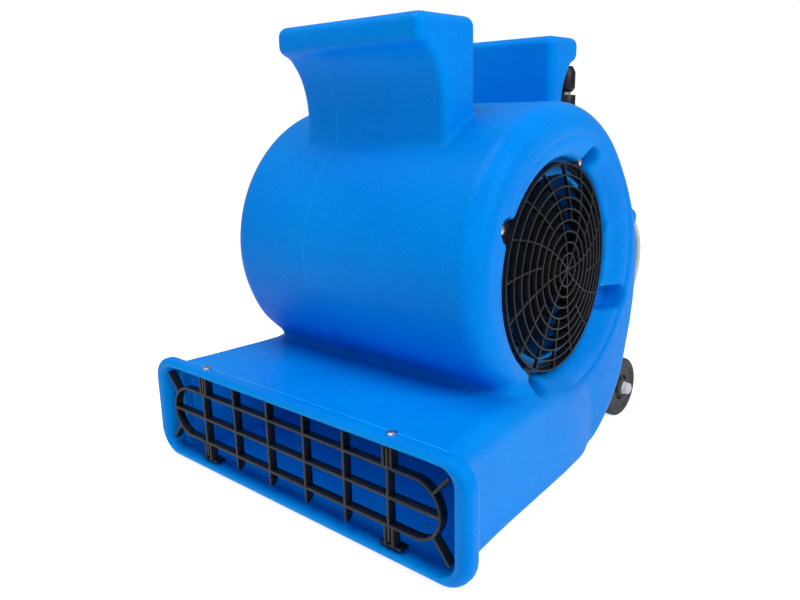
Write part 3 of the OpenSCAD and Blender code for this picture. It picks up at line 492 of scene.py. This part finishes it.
def settle(field, points, rounds=3, reach=1.2):
    """Moves points onto the zero level of a field and returns them with their outward directions."""
    for _ in range(rounds):
        g = gradient(field, points)
        size = np.maximum((g * g).sum(1), 0.05)
        move = -g * (field(*points.T) / size)[:, None]
        length = np.maximum(np.linalg.norm(move, axis=1), 1e-9)
        points = points + move * np.minimum(1, reach / length)[:, None]
    g = gradient(field, points, 0.6)
    return points, g / np.maximum(np.linalg.norm(g, axis=1), 1e-9)[:, None]


def mesh_object(name, points, faces, body, material, normals=None):
    """Makes a smooth-shaded mesh piece from points in millimetres, riding on a body."""
    mesh = bpy.data.meshes.new(name)
    mesh.from_pydata(to_frame(points).tolist(), [], [tuple(face) for face in faces])
    mesh.polygons.foreach_set("use_smooth", [True] * len(mesh.polygons))
    mesh.materials.append(material)
    mesh.update()
    if normals is not None:
        mesh.normals_split_custom_set_from_vertices(normals.tolist())
    piece = bpy.data.objects.new(name, mesh)
    bpy.context.scene.collection.objects.link(piece)
    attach(piece, body)
    return piece


def make_housing(material):
    """Meshes the shell slab by slab, to save memory, and puts it in the CAD housing's place."""
    margin = 2 * VOXEL
    lo = SHELL_LO - margin
    counts = np.ceil((SHELL_HI + margin - lo) / VOXEL).astype(int) + 1
    axes = [lo[i] + VOXEL * np.arange(counts[i]) for i in range(3)]
    slabs = []
    for start in range(0, counts[0], SLAB):
        x, y, z = np.meshgrid(axes[0][start:start + SLAB], axes[1], axes[2], indexing="ij")
        slabs.append(housing_field(x, y, z))
    points, quads = surface_net(np.concatenate(slabs), lo, VOXEL)
    points, normals = settle(housing_field, points)
    piece = mesh_object("housing_shell", points, quads, "frame_body", material, normals)
    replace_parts(piece, "housing")
    return piece


# ---- Materials ----


class Shader:
    """A node material built up step by step round one Principled shader."""

    def __init__(self, name, rough, metal=0.0):
        self.mat = bpy.data.materials.new(name)
        self.mat.use_nodes = True
        self.tree = self.mat.node_tree
        self.bsdf = self.tree.nodes["Principled BSDF"]
        self.bsdf.inputs["Roughness"].default_value = rough
        self.bsdf.inputs["Metallic"].default_value = metal
        self.place = self.tree.nodes.new("ShaderNodeTexCoord").outputs["Object"]
        self.height = None

    def link(self, a, b):
        self.tree.links.new(a, b)

    def noise(self, per_m, detail=3.0, stretch=(1, 1, 1)):
        """Fractal noise from 0 to 1 with a chosen number of features to the metre."""
        spread = self.tree.nodes.new("ShaderNodeMapping")
        spread.inputs["Scale"].default_value = stretch
        self.link(self.place, spread.inputs["Vector"])
        node = self.tree.nodes.new("ShaderNodeTexNoise")
        node.inputs["Scale"].default_value = per_m
        node.inputs["Detail"].default_value = detail
        self.link(spread.outputs["Vector"], node.inputs["Vector"])
        return node.outputs["Fac"]

    def ramp(self, value, *stops):
        """Maps a value through stops of (position, grey level or colour)."""
        node = self.tree.nodes.new("ShaderNodeValToRGB")
        points = node.color_ramp.elements
        while len(points) < len(stops):
            points.new(0.5)
        for point, (at, level) in zip(points, stops):
            point.position = at
            point.color = (level, level, level, 1) if isinstance(level, (int, float)) else (*level, 1)
        self.link(value, node.inputs["Fac"])
        return node.outputs["Color"]

    def mix(self, share, a, b):
        """Blends two colours, each a socket or a constant, by a share from 0 to 1."""
        node = self.tree.nodes.new("ShaderNodeMix")
        node.data_type = "RGBA"
        for value, socket in ((share, node.inputs[0]), (a, node.inputs[6]), (b, node.inputs[7])):
            if isinstance(value, bpy.types.NodeSocket):
                self.link(value, socket)
            else:
                socket.default_value = value if isinstance(value, float) else (*value, 1)
        return node.outputs[2]

    def edges(self, low=0.52, high=0.58):
        """Share that rises on sharp outer edges."""
        geometry = self.tree.nodes.new("ShaderNodeNewGeometry")
        return self.ramp(geometry.outputs["Pointiness"], (low, 0.0), (high, 1.0))

    def band(self, axis, at_mm, half_mm):
        """Share that is 1 on a thin band where one coordinate is near a value."""
        parts = self.tree.nodes.new("ShaderNodeSeparateXYZ")
        self.link(self.place, parts.inputs[0])
        near = self.tree.nodes.new("ShaderNodeMath")
        near.operation = "COMPARE"
        near.inputs[1].default_value = at_mm * MM
        near.inputs[2].default_value = half_mm * MM
        self.link(parts.outputs[axis], near.inputs[0])
        return near.outputs[0]

    def times(self, a, b):
        node = self.tree.nodes.new("ShaderNodeMath")
        node.operation = "MULTIPLY"
        self.link(a, node.inputs[0])
        self.link(b, node.inputs[1])
        return node.outputs[0]

    def colour(self, value):
        self.link(value, self.bsdf.inputs["Base Color"])
        return self

    def roughness(self, value):
        self.link(value, self.bsdf.inputs["Roughness"])
        return self

    def bump(self, value, height_mm, strength=1.0):
        """Raises the surface by up to height_mm where the value is 1. Each call adds to the last."""
        node = self.tree.nodes.new("ShaderNodeBump")
        node.inputs["Distance"].default_value = height_mm * MM
        node.inputs["Strength"].default_value = strength
        self.link(value, node.inputs["Height"])
        if self.height:
            self.link(self.height, node.inputs["Normal"])
        self.height = node.outputs["Normal"]
        self.link(self.height, self.bsdf.inputs["Normal"])
        return self

    def round_edges(self, radius_mm):
        """Shades hard edges as if they had a small radius."""
        node = self.tree.nodes.new("ShaderNodeBevel")
        node.samples = 4
        node.inputs["Radius"].default_value = radius_mm * MM
        self.height = node.outputs["Normal"]
        self.link(self.height, self.bsdf.inputs["Normal"])
        return self


# Where the mould insert's witness line and the painted highlight along the crease behind the lip lie, and their
# half widths
SEAM_X = -54.0
SEAM_HALF_W = 0.8
CREASE_HIGHLIGHT_Y = LIP_BACK + WORK_ORIGIN[1] / MM + LIP_CREASE
CREASE_HIGHLIGHT_HALF_W = 1.3


def blue_shell_material():
    """Rotomoulded polyethylene: bright blue, waxy satin, with a faint pebble and slow colour drift, and a
    painted highlight along the crease behind the lip.
    """
    s = Shader("blue_shell", 0.38)
    drift = s.ramp(s.noise(7, 2), (0.3, (0.0, 0.20, 0.735)), (0.7, (0.0, 0.255, 0.82)))
    grain = s.ramp(s.noise(380, 2), (0.42, 0.0), (0.66, 0.62))
    body = s.mix(grain, drift, (0.0, 0.27, 0.86))
    pale = s.ramp(s.noise(60, 4, (1, 1, 3)), (0.60, 0.0), (0.80, 0.18))
    body = s.mix(pale, body, (0.0, 0.34, 0.88))
    witness = s.times(s.band("X", SEAM_X, SEAM_HALF_W), s.ramp(s.noise(45, 3), (0.3, 0.15), (0.7, 0.8)))
    body = s.mix(witness, body, (0.0, 0.38, 0.90))
    # Painted highlight: a pale thin line along the crease behind the lip, broken up by noise
    crease_highlight = s.times(s.band("Y", CREASE_HIGHLIGHT_Y, CREASE_HIGHLIGHT_HALF_W), s.ramp(s.noise(70, 3), (0.3, 0.2), (0.7, 0.75)))
    body = s.mix(crease_highlight, body, (0.02, 0.46, 0.93))
    s.colour(s.mix(s.edges(0.53, 0.60), body, (0.005, 0.40, 0.92)))
    s.roughness(s.ramp(s.noise(30, 4), (0.3, 0.30), (0.7, 0.44)))
    s.bsdf.inputs["IOR"].default_value = 1.2
    s.bsdf.inputs["Specular Tint"].default_value = (0.12, 0.72, 1.0, 1)
    s.bump(s.noise(260, 3), 0.5, 0.5)
    s.bump(s.noise(900, 2), 0.16, 0.5)
    return s.mat


def black_plastic_material():
    """Injection-moulded black plastic, satin, with greyer edges."""
    s = Shader("black_plastic", 0.42)
    s.round_edges(0.5)
    base = s.ramp(s.noise(40, 3), (0.3, (0.003, 0.004, 0.005)), (0.7, (0.007, 0.008, 0.010)))
    s.colour(s.mix(s.edges(0.60, 0.90), base, (0.025, 0.030, 0.034)))
    s.bsdf.inputs["Specular IOR Level"].default_value = 0.35
    s.roughness(s.ramp(s.noise(70, 4), (0.3, 0.34), (0.7, 0.52)))
    s.bump(s.noise(1400, 2), 0.08, 0.5)
    return s.mat


def rubber_material(name, dark, light, grain):
    """Matt rubber or soft vinyl with rubbed edges."""
    s = Shader(name, 0.7)
    clean = s.ramp(s.noise(55, 4), (0.3, dark), (0.7, light))
    s.colour(s.mix(s.edges(0.51, 0.6), clean, (0.12, 0.12, 0.125)))
    s.roughness(s.ramp(s.noise(120, 3), (0.3, 0.62), (0.7, 0.85)))
    s.bump(s.noise(grain, 3), 0.15, 0.6)
    return s.mat


METAL_DULL = 0.72
PAINT_WORN = 1.6


def metal_material(name, tint, rough_low, rough_high, grain, stretch=(1, 1, 1)):
    """Bare or plated metal with a slightly dulled, uneven shine."""
    s = Shader(name, rough_low, 1.0)
    dull = tuple(c * METAL_DULL for c in tint)
    s.colour(s.ramp(s.noise(grain, 4, stretch), (0.3, dull), (0.7, tint)))
    s.roughness(s.ramp(s.noise(grain * 2, 3, stretch), (0.3, rough_low), (0.7, rough_high)))
    s.bump(s.noise(grain * 8, 2, stretch), 0.03, 0.4)
    return s.mat


def painted_material(name, dark, light, rough, grain, metal=0.0):
    """Paint, varnish or hard plastic, lighter where its edges are worn."""
    s = Shader(name, rough, metal)
    coat = s.ramp(s.noise(35, 3), (0.3, dark), (0.7, light))
    s.colour(s.mix(s.edges(), coat, tuple(c * PAINT_WORN for c in light)))
    s.roughness(s.ramp(s.noise(90, 3), (0.3, rough - 0.07), (0.7, rough + 0.09)))
    s.bump(s.noise(grain, 2), 0.06, 0.5)
    return s.mat


def webbing_material():
    """Woven strap: fine ribs both ways, with a slightly fuzzy matt surface."""
    s = Shader("strap_webbing", 0.85)
    wave = s.tree.nodes.new("ShaderNodeTexWave")
    wave.bands_direction = "Z"
    wave.inputs["Scale"].default_value = 180
    wave.inputs["Distortion"].default_value = 1.5
    s.link(s.place, wave.inputs["Vector"])
    s.colour(s.ramp(wave.outputs["Fac"], (0.2, (0.006, 0.006, 0.007)), (0.9, (0.035, 0.036, 0.04))))
    s.bump(wave.outputs["Fac"], 0.4, 0.8)
    s.bump(s.noise(900, 3), 0.25, 0.6)
    return s.mat


def camera_only(tree, lit, seen):
    """One value for light that falls on things, and another for what the camera sees straight."""
    rays = tree.nodes.new("ShaderNodeLightPath")
    value = tree.nodes.new("ShaderNodeMapRange")
    value.inputs["To Min"].default_value = lit
    value.inputs["To Max"].default_value = seen
    tree.links.new(rays.outputs["Is Camera Ray"], value.inputs["Value"])
    return value.outputs["Result"]


# The floor glows a little, so that it stays pale far from the lamps, but lights the object less than that
FLOOR_GLOW = 0.8
FLOOR_GLOW_LIT = 0.3 * FLOOR_GLOW


def floor_material():
    """Plain pale floor of the studio."""
    s = Shader("studio_floor", 0.6)
    s.colour(s.ramp(s.noise(1.2, 2), (0.3, 0.86), (0.7, 0.90)))
    s.roughness(s.ramp(s.noise(5, 3), (0.3, 0.55), (0.7, 0.68)))
    s.bsdf.inputs["Emission Color"].default_value = (1, 1, 1, 1)
    s.link(camera_only(s.tree, FLOOR_GLOW_LIT, FLOOR_GLOW), s.bsdf.inputs["Emission Strength"])
    return s.mat


MATS = {
    "blue_shell": blue_shell_material(),
    "black_plastic": black_plastic_material(),
    "dark_rubber": rubber_material("dark_rubber", (0.010, 0.010, 0.011), (0.026, 0.026, 0.028), 600),
    "wheel_rubber": rubber_material("wheel_rubber", (0.035, 0.037, 0.042), (0.060, 0.063, 0.070), 450),
    "zinc": metal_material("zinc", (0.80, 0.80, 0.77), 0.22, 0.40, 60),
    "tube_steel": metal_material("tube_steel", (0.82, 0.83, 0.85), 0.12, 0.24, 90, (1, 1, 0.08)),
    "bow_steel": painted_material("bow_steel", (0.50, 0.52, 0.50), (0.62, 0.63, 0.61), 0.35, 900),
    "motor_cast": painted_material("motor_cast", (0.36, 0.37, 0.38), (0.52, 0.53, 0.54), 0.48, 700, 0.8),
    "motor_dark": painted_material("motor_dark", (0.030, 0.032, 0.036), (0.055, 0.058, 0.064), 0.5, 500),
    "button_red": painted_material("button_red", (0.25, 0.012, 0.012), (0.36, 0.022, 0.020), 0.3, 800),
    "capacitor_shell": painted_material("capacitor_shell", (0.68, 0.68, 0.64), (0.78, 0.78, 0.75), 0.3, 500),
    "webbing": webbing_material(),
}

# CAD nodes in each material. The rest are zinc-plated fasteners and shafts.
SLOT_NODES = {
    "black_plastic": (
        "outlet_grille", "inlet_grille_right", "inlet_grille_left", "control_panel", "cord_gland", "speed_knob",
        "rotary_switch", "handle_upper_bracket", "handle_lower_bracket", "handle_grip",
    ),
    "dark_rubber": ("front_feet", "power_plug"),
    "motor_dark": ("impeller", "motor_stator"),
    "motor_cast": ("impeller_hub", "motor_rotor", "motor_inner_bell", "motor_outer_bell"),
    "capacitor_shell": ("run_capacitor",),
    "tube_steel": ("handle_outer_tubes", "handle_inner_tubes"),
    "bow_steel": ("lifting_bow_right", "lifting_bow_left", "axle_caps"),
    "button_red": ("release_button",),
}
NODE_SLOTS = {node: slot for slot, nodes in SLOT_NODES.items() for node in nodes}
# Width of the rounding on the edges of nodes that are redrawn with soft edges, millimetres
SOFT_EDGES = {
    "outlet_grille": 0.7, "inlet_grille_right": 0.5, "inlet_grille_left": 0.5, "control_panel": 1.2,
    "cord_gland": 0.6, "speed_knob": 1.2, "handle_upper_bracket": 1.6, "handle_lower_bracket": 1.6,
    "handle_grip": 1.5, "release_button": 0.9, "front_feet": 0.8, "impeller_hub": 0.6,
    "motor_inner_bell": 1.0, "motor_outer_bell": 1.0, "run_capacitor": 1.0, "motor_mount": 0.5,
}


# Points of a CAD mesh closer than this (millimetres) are one point, and edges flatter than this angle go
WELD = 0.02
FLAT_ANGLE = math.radians(1)
# Edges sharper than this angle are rounded
SHARP_ANGLE = math.radians(35)


def body_of_node(node):
    """The moving body that a CAD node rides on."""
    for body, nodes in frame["record"]["behaviour"]["bodies"].items():
        if node in nodes:
            return body
    return None


def soft_copy(node, width_mm):
    """Redraws a CAD node with its flat faces merged and its hard edges rounded."""
    slot = NODE_SLOTS.get(node, "zinc")
    mesh = frame["nodes"][node].data.copy()
    mesh.name = node + "_soft"
    work = bmesh.new()
    work.from_mesh(mesh)
    bmesh.ops.remove_doubles(work, verts=work.verts, dist=WELD * MM)
    bmesh.ops.dissolve_limit(work, angle_limit=FLAT_ANGLE, verts=work.verts, edges=work.edges)
    work.to_mesh(mesh)
    work.free()
    mesh.materials.clear()
    mesh.materials.append(MATS[slot])
    mesh.polygons.foreach_set("use_smooth", [True] * len(mesh.polygons))
    piece = bpy.data.objects.new(node + "_soft", mesh)
    bpy.context.scene.collection.objects.link(piece)
    bevel = piece.modifiers.new("edges", "BEVEL")
    bevel.width = width_mm * MM
    bevel.segments = 2
    bevel.limit_method = "ANGLE"
    bevel.angle_limit = SHARP_ANGLE
    bevel.harden_normals = True
    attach(piece, body_of_node(node))
    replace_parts(piece, node)
    return piece


def dress_nodes():
    """Gives every CAD node that stays its material."""
    for name, node in frame["nodes"].items():
        material = MATS[NODE_SLOTS.get(name, "zinc")]
        node.data.materials.clear()
        node.data.materials.append(material)


# ---- Running gear ----

WHEEL_STEP = 1.2
TREAD_R = 6.0
# Fine groove round the middle of the tread: half width and depth
TREAD_GROOVE = (0.8, 1.1)
TREAD_GROOVE_EDGE = 0.8
SHOULDER_LINE_R = 34.0
SHOULDER_LINE_DEPTH = 0.9
SHOULDER_LINE_EDGE = 0.6
# Hollow ring in each face of the wheel: middle radius, half width and depth
FACE_R = 24.5
FACE_HALF_W = 4.5
FACE_DEPTH = 2.5
# Dish between the ring and the hub, crossed by spokes that stand back from the face
HUB_RING_R = 18.5
HUB_DEPTH = 7.0
HUB_FACE_R = 12.0
WHEEL_EDGE_R = 1.5
WHEEL_SPOKES = 5
SPOKE_HALF_W = 1.8
SPOKE_DROP = 4
WHEEL_BORE_R = 4.3


def wheel_field(lo, hi):
    """Transport wheel: rounded tyre, dished web with spokes, and a hub round the axle."""
    mid, half = (lo[0] + hi[0]) / 2, (hi[0] - lo[0]) / 2
    radius = (hi[2] - lo[2]) / 2

    def field(x, y, z):
        u, v, w = np.abs(x - mid), y - AXLE_Y, z - AXLE_Z
        rho = np.hypot(v, w)
        tyre = meet(rho - radius, u - half, TREAD_R)
        face = np.hypot(np.maximum(np.abs(rho - FACE_R) - FACE_HALF_W, 0), u - half) - FACE_DEPTH
        dish = meet(rho - HUB_RING_R, HUB_FACE_R - rho, WHEEL_EDGE_R)
        dish = meet(dish, half - HUB_DEPTH - u, WHEEL_EDGE_R)
        turn = np.arctan2(w, v) * WHEEL_SPOKES / (2 * math.pi)
        across = (turn - np.round(turn)) * 2 * math.pi / WHEEL_SPOKES * rho
        spoke = np.maximum(np.abs(across) - SPOKE_HALF_W, u - half + SPOKE_DROP)
        dish = cut(dish, spoke, WHEEL_EDGE_R)
        groove = np.hypot(np.maximum(u - TREAD_GROOVE[0], 0), rho - radius) - TREAD_GROOVE[1]
        shoulder = np.hypot(u - half, rho - SHOULDER_LINE_R) - SHOULDER_LINE_DEPTH
        tyre = cut(cut(tyre, dish, WHEEL_EDGE_R), face, WHEEL_EDGE_R)
        tyre = cut(cut(tyre, groove, TREAD_GROOVE_EDGE), shoulder, SHOULDER_LINE_EDGE)
        return np.maximum(tyre, WHEEL_BORE_R - rho)

    return field


def field_piece(name, field, lo, hi, step, body, material):
    """Meshes a field inside a box and settles the points onto it."""
    margin = 2 * step
    axes = [np.arange(lo[i] - margin, hi[i] + margin + step, step) for i in range(3)]
    x, y, z = np.meshgrid(*axes, indexing="ij")
    origin = np.array([a[0] for a in axes])
    points, quads = surface_net(field(x, y, z), origin, step)
    points, normals = settle(field, points, 3, step * 0.5)
    return mesh_object(name, points, quads, body, material, normals)


def make_wheels():
    """One rubber wheel on each side, in the CAD wheel's place."""
    for side in ("right", "left"):
        lo, hi = box_mm("wheel_" + side)
        tyre = field_piece("tyre_" + side, wheel_field(lo, hi), lo, hi, WHEEL_STEP, side + "_wheel",
                           MATS["wheel_rubber"])
        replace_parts(tyre, "wheel_" + side)


# ---- Cord and straps ----

CORD_R = 4.2
# Hank: turns, what it runs on past the last whole turn, radius, place, and where its first turn starts
HANK_TURNS = 6
HANK_OVERRUN = 0.36
HANK_R = TUBE_X
HANK_Y = CORD_BACK - 12.0
HANK_Z = 290.0
HANK_START = math.radians(-62)
STEPS_PER_TURN = 48
STRAND_R = CORD_R * 2
# Unevenness of the hank: size and rate of the wander of the lay (radians) and of the radius (millimetres)
LAY_WANDER = (0.18, 9.7)
RADIUS_WANDER = (0.5, 4.3)
# How far out of the panel the cord passes through the gland
GLAND_REACH = (-15, 5, 30, 44)
STRAP_W = 22.0
STRAP_T = 1.5
STRAP_STEPS = 96
STRAP_BEVEL = 0.4
# Free tail of a strap: how far round it overlaps (radians) and how far it stands off (millimetres)
STRAP_OVERLAP = 0.9
STRAP_TAIL_OFF = 0.9
STRAP_SHIFT = 0.5
STRAP_SAG = 0.5
PIN_LENGTH = 18.5
PLUG_EDGE = 1.0


def tube_along(name, path, radius, body, material):
    """A round cord along a path of points in millimetres."""
    curve = bpy.data.curves.new(name, "CURVE")
    curve.dimensions = "3D"
    curve.bevel_depth = radius * MM
    curve.bevel_resolution = 5
    curve.use_fill_caps = True
    line = curve.splines.new("POLY")
    line.points.add(len(path) - 1)
    for point, at in zip(line.points, to_frame(path)):
        point.co = (*at, 1)
    line.use_smooth = True
    curve.materials.append(material)
    piece = bpy.data.objects.new(name, curve)
    bpy.context.scene.collection.objects.link(piece)
    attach(piece, body)
    return piece


def smooth_path(points, per_span=14):
    """A smooth curve through a few points."""
    p = np.array(points, float)
    p = np.vstack([2 * p[0] - p[1], p, 2 * p[-1] - p[-2]])
    out = []
    for i in range(1, len(p) - 2):
        for t in np.linspace(0, 1, per_span, endpoint=False):
            out.append(0.5 * (2 * p[i] + (p[i + 1] - p[i - 1]) * t
                              + (2 * p[i - 1] - 5 * p[i] + 4 * p[i + 1] - p[i + 2]) * t * t
                              + (3 * p[i] - p[i - 1] - 3 * p[i + 1] + p[i + 2]) * t ** 3))
    out.append(p[-2])
    return out


def panel_point(u, v, w):
    """A point given on the control panel, in the frame, millimetres."""
    c, s = math.cos(PANEL_ANGLE), math.sin(PANEL_ANGLE)
    return np.array([PANEL_X - u, (PANEL_R + w) * c - v * s, AXIS_Z + (PANEL_R + w) * s + v * c])


def hank_path():
    """Strands of the hank, each lying beside the last."""
    path = []
    for step in range(HANK_TURNS * STEPS_PER_TURN + 1):
        turn = step / STEPS_PER_TURN
        around = HANK_START + turn * 2 * math.pi * (1 + HANK_OVERRUN / HANK_TURNS)
        lay = turn / HANK_TURNS * 2 * math.pi + LAY_WANDER[0] * math.sin(turn * LAY_WANDER[1])
        r = HANK_R + STRAND_R * math.cos(lay) + RADIUS_WANDER[0] * math.sin(turn * RADIUS_WANDER[1])
        y = HANK_Y + STRAND_R * math.sin(lay)
        path.append(np.array([r * math.cos(around), y, HANK_Z - r * math.sin(around)]))
    return path


def make_cord():
    """Cord from the gland into a hank wound round behind the two tubes, and out to the plug."""
    out_of_gland = [panel_point(0, GLAND_Y, w) for w in GLAND_REACH]
    hank = hank_path()
    droop = out_of_gland[-1] + (16, 40, -14)
    over_tube = np.array([-TUBE_X - 20, HANK_Y - 5, HANK_Z + 52])
    lead_in = smooth_path(out_of_gland + [droop, over_tube, hank[0] + (-16, -2, 9), hank[0]])
    plug_top = np.append((PLUG_LO[:2] + PLUG_HI[:2]) / 2, PLUG_HI[2])
    tail = [hank[-1] + (5, 3, -16)] + [plug_top + ahead for ahead in ((-7, 2, 34), (0, 0, 14), (0, 0, -3))]
    lead_out = smooth_path([hank[-1]] + tail)
    path = lead_in + hank[1:-1] + lead_out
    cord = tube_along("cord_hank", path, CORD_R, "frame_body", MATS["dark_rubber"])
    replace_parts(cord, "power_cord")


def strap_path(side):
    """Middle line of a strap seen from above, as (x, y, sag), once round and on into its tail."""
    mid_y = (STRAP_HI[1] + STRAP_LO[1]) / 2
    bend_r = STRAP_HI[0] - TUBE_X
    straight = (STRAP_HI[1] - STRAP_LO[1]) / 2 - bend_r
    path = []
    for step in range(STRAP_STEPS + 1):
        share = step / STRAP_STEPS
        a = -math.pi / 2 + share * (2 * math.pi + STRAP_OVERLAP)
        spread = bend_r - STRAP_T / 2 + STRAP_TAIL_OFF * share
        x = side * (TUBE_X - STRAP_SHIFT) + side * spread * math.cos(a)
        y = mid_y + math.copysign(straight, math.sin(a)) + spread * math.sin(a)
        path.append((x, y, STRAP_SAG * math.sin(a * 3)))
    return path


def make_strap(name, side):
    """A woven strap wrapped round one handle tube and the hank, with a free tail."""
    path = strap_path(side)
    mid_z = (STRAP_HI[2] + STRAP_LO[2]) / 2
    half_w = STRAP_W / 2
    points, faces = [], []
    for i, (x, y, sag) in enumerate(path):
        before, after = path[max(i - 1, 0)], path[min(i + 1, len(path) - 1)]
        along = np.array([after[0] - before[0], after[1] - before[1]])
        along = along / max(np.linalg.norm(along), 1e-6)
        out = np.array([along[1], -along[0]]) * side
        for z, push in ((-half_w, 0), (half_w, 0), (half_w, STRAP_T), (-half_w, STRAP_T)):
            points.append((x + out[0] * push, y + out[1] * push, mid_z + z + sag))
    for i in range(len(path) - 1):
        for k in range(4):
            faces.append((4 * i + k, 4 * i + (k + 1) % 4, 4 * i + 4 + (k + 1) % 4, 4 * i + 4 + k))
    last = 4 * (len(path) - 1)
    faces.append((3, 2, 1, 0))
    faces.append((last, last + 1, last + 2, last + 3))
    strap = mesh_object(name, points, faces, "frame_body", MATS["webbing"])
    bevel = strap.modifiers.new("edges", "BEVEL")
    bevel.width = STRAP_BEVEL * MM
    bevel.segments = 2
    return strap


def make_straps():
    """The two straps, in the place of the one CAD node that holds both."""
    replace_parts(make_strap("strap_right", 1), "cord_strap")
    make_strap("strap_left", -1)


def make_plug():
    """Mains plug: a rubber body with two bright pins."""
    piece = soft_copy("power_plug", PLUG_EDGE)
    piece.data.materials.append(MATS["zinc"])
    pins_top = to_frame((0, 0, PLUG_LO[2] + PIN_LENGTH))[2]
    for face in piece.data.polygons:
        if face.center.z < pins_top:
            face.material_index = 1


# ---- Control panel marks ----

MARK_RING_R = 22.5
MARK_SPREAD = math.radians(45)
DOT_GAP = 0.17
DOT_R = 1.3
OFF_DOT_R = 2.0
DOT_SIDES = 20
# Height of each ring of a dot out of the panel, and its share of the dot's radius
DOT_RINGS = ((5.0, 1.0), (5.6, 1.0), (5.8, 0.7))


def make_dial_marks():
    """Raised dots round the knob, a large one for off and one, two or three small ones for the speeds."""
    points, faces = [], []
    for stop, speed in enumerate((0, 1, 2, 3)):
        dots = max(speed, 1)
        for n in range(dots):
            angle = math.pi / 2 + MARK_SPREAD * (1.5 - stop) + (n - (dots - 1) / 2) * DOT_GAP
            u, v = MARK_RING_R * math.cos(angle), KNOB_Y + MARK_RING_R * math.sin(angle)
            size = DOT_R if speed else OFF_DOT_R
            base = len(points)
            for w, share in DOT_RINGS:
                for k in range(DOT_SIDES):
                    t = 2 * math.pi * k / DOT_SIDES
                    r = size * share
                    points.append(panel_point(u + r * math.cos(t), v + r * math.sin(t), w))
            for ring in range(len(DOT_RINGS) - 1):
                for k in range(DOT_SIDES):
                    a = base + ring * DOT_SIDES + k
                    b = base + ring * DOT_SIDES + (k + 1) % DOT_SIDES
                    faces.append((b, a, a + DOT_SIDES, b + DOT_SIDES))
            top = base + (len(DOT_RINGS) - 1) * DOT_SIDES
            faces.append(tuple(top + k for k in reversed(range(DOT_SIDES))))
            faces.append(tuple(base + k for k in range(DOT_SIDES)))
    mesh_object("dial_marks", points, faces, "frame_body", MATS["capacitor_shell"])


# ---- Stage, lights and camera ----

FLOOR_HALF_W = 8.0
SKY_COLOUR = (0.93, 0.96, 1.0, 1)
SKY_LIGHT = 0.28
SKY_SEEN = 1.1
# Lamps in the frame's metres: place, width, watts
KEY_LAMP = ((2.2, -0.3, 1.8), 1.5, 40)
TOP_LAMP = ((-0.4, -0.8, 2.5), 1.6, 31)
LAMP_TARGET = (0, 0, 0.25)
DUCT_WATTS = 0.07
# Lamp in the duct: share of the mouth that it fills, and how far it hangs behind the grille in millimetres
DUCT_LAMP_SHARE = (0.8, 0.6)
DUCT_LAMP_GAP = 2
# Camera: place in millimetres, direction and roll in degrees, lens and sensor in millimetres
CAMERA_AT = (588.3, -736.3, 429.2)
CAMERA_AZIMUTH = 41.43
CAMERA_ELEVATION = 14.19
CAMERA_ROLL = -1.17
LENS = 33.3
SENSOR_W = 36


def make_stage():
    """Floor and backdrop. The backdrop is seen white, but lights the object less than that."""
    corners = [(x * FLOOR_HALF_W, y * FLOOR_HALF_W, 0) for x, y in ((-1, -1), (1, -1), (1, 1), (-1, 1))]
    mesh = bpy.data.meshes.new("studio_floor")
    mesh.from_pydata(corners, [], [(0, 1, 2, 3)])
    mesh.materials.append(floor_material())
    floor = bpy.data.objects.new("studio_floor", mesh)
    bpy.context.scene.collection.objects.link(floor)
    world = bpy.data.worlds.new("studio")
    world.use_nodes = True
    sky = world.node_tree.nodes["Background"]
    sky.inputs["Color"].default_value = SKY_COLOUR
    world.node_tree.links.new(camera_only(world.node_tree, SKY_LIGHT, SKY_SEEN), sky.inputs["Strength"])
    bpy.context.scene.world = world
    bpy.context.scene.view_settings.view_transform = "Standard"


def hang_lamp(light, place, toward, up):
    """Hangs a light at a place in the frame, shining one way."""
    lamp = bpy.data.objects.new(light.name, light)
    lamp.location = place
    lamp.rotation_mode = "QUATERNION"
    lamp.rotation_quaternion = toward.to_track_quat("-Z", up)
    bpy.context.scene.collection.objects.link(lamp)
    return lamp


def studio_lamp(name, place, width, watts):
    """A large round soft light aimed at the object."""
    light = bpy.data.lights.new(name, "AREA")
    light.shape = "DISK"
    light.size = width
    light.energy = watts
    hang_lamp(light, place, Vector(LAMP_TARGET) - Vector(place), "Y")


def duct_lamp():
    """A dim lamp just behind the outlet grille, unseen, so that the inside of the duct reads blue."""
    light = bpy.data.lights.new("duct", "AREA")
    light.shape = "RECTANGLE"
    light.size = DUCT_LAMP_SHARE[0] * 2 * MOUTH_HALF_W * MM
    light.size_y = DUCT_LAMP_SHARE[1] * (MOUTH_Z[1] - MOUTH_Z[0]) * MM
    light.energy = DUCT_WATTS
    place = to_frame((0, GRILLE_BACK + DUCT_LAMP_GAP, sum(MOUTH_Z) / 2))
    hang_lamp(light, place, Vector((0, 1, 0)), "Z").visible_camera = False


def make_camera():
    """Camera a little above the machine, looking at its outlet and right side."""
    a, e = math.radians(CAMERA_AZIMUTH), math.radians(CAMERA_ELEVATION)
    back = Vector((math.sin(a) * math.cos(e), -math.cos(a) * math.cos(e), math.sin(e)))
    data = bpy.data.cameras.new("camera")
    data.sensor_width = SENSOR_W
    data.lens = LENS
    data.clip_start = 0.01
    camera = bpy.data.objects.new("camera", data)
    camera.location = to_frame(CAMERA_AT)
    camera.rotation_mode = "QUATERNION"
    roll = Quaternion((0, 0, 1), math.radians(CAMERA_ROLL))
    camera.rotation_quaternion = (-back).to_track_quat("-Z", "Y") @ roll
    bpy.context.scene.collection.objects.link(camera)
    bpy.context.scene.camera = camera


# ---- Build ----

dress_nodes()
make_housing(MATS["blue_shell"])
for node_name, edge_width in SOFT_EDGES.items():
    soft_copy(node_name, edge_width)
make_wheels()
make_cord()
make_plug()
make_straps()
make_dial_marks()
make_stage()
studio_lamp("key", *KEY_LAMP)
studio_lamp("top", *TOP_LAMP)
duct_lamp()
make_camera()
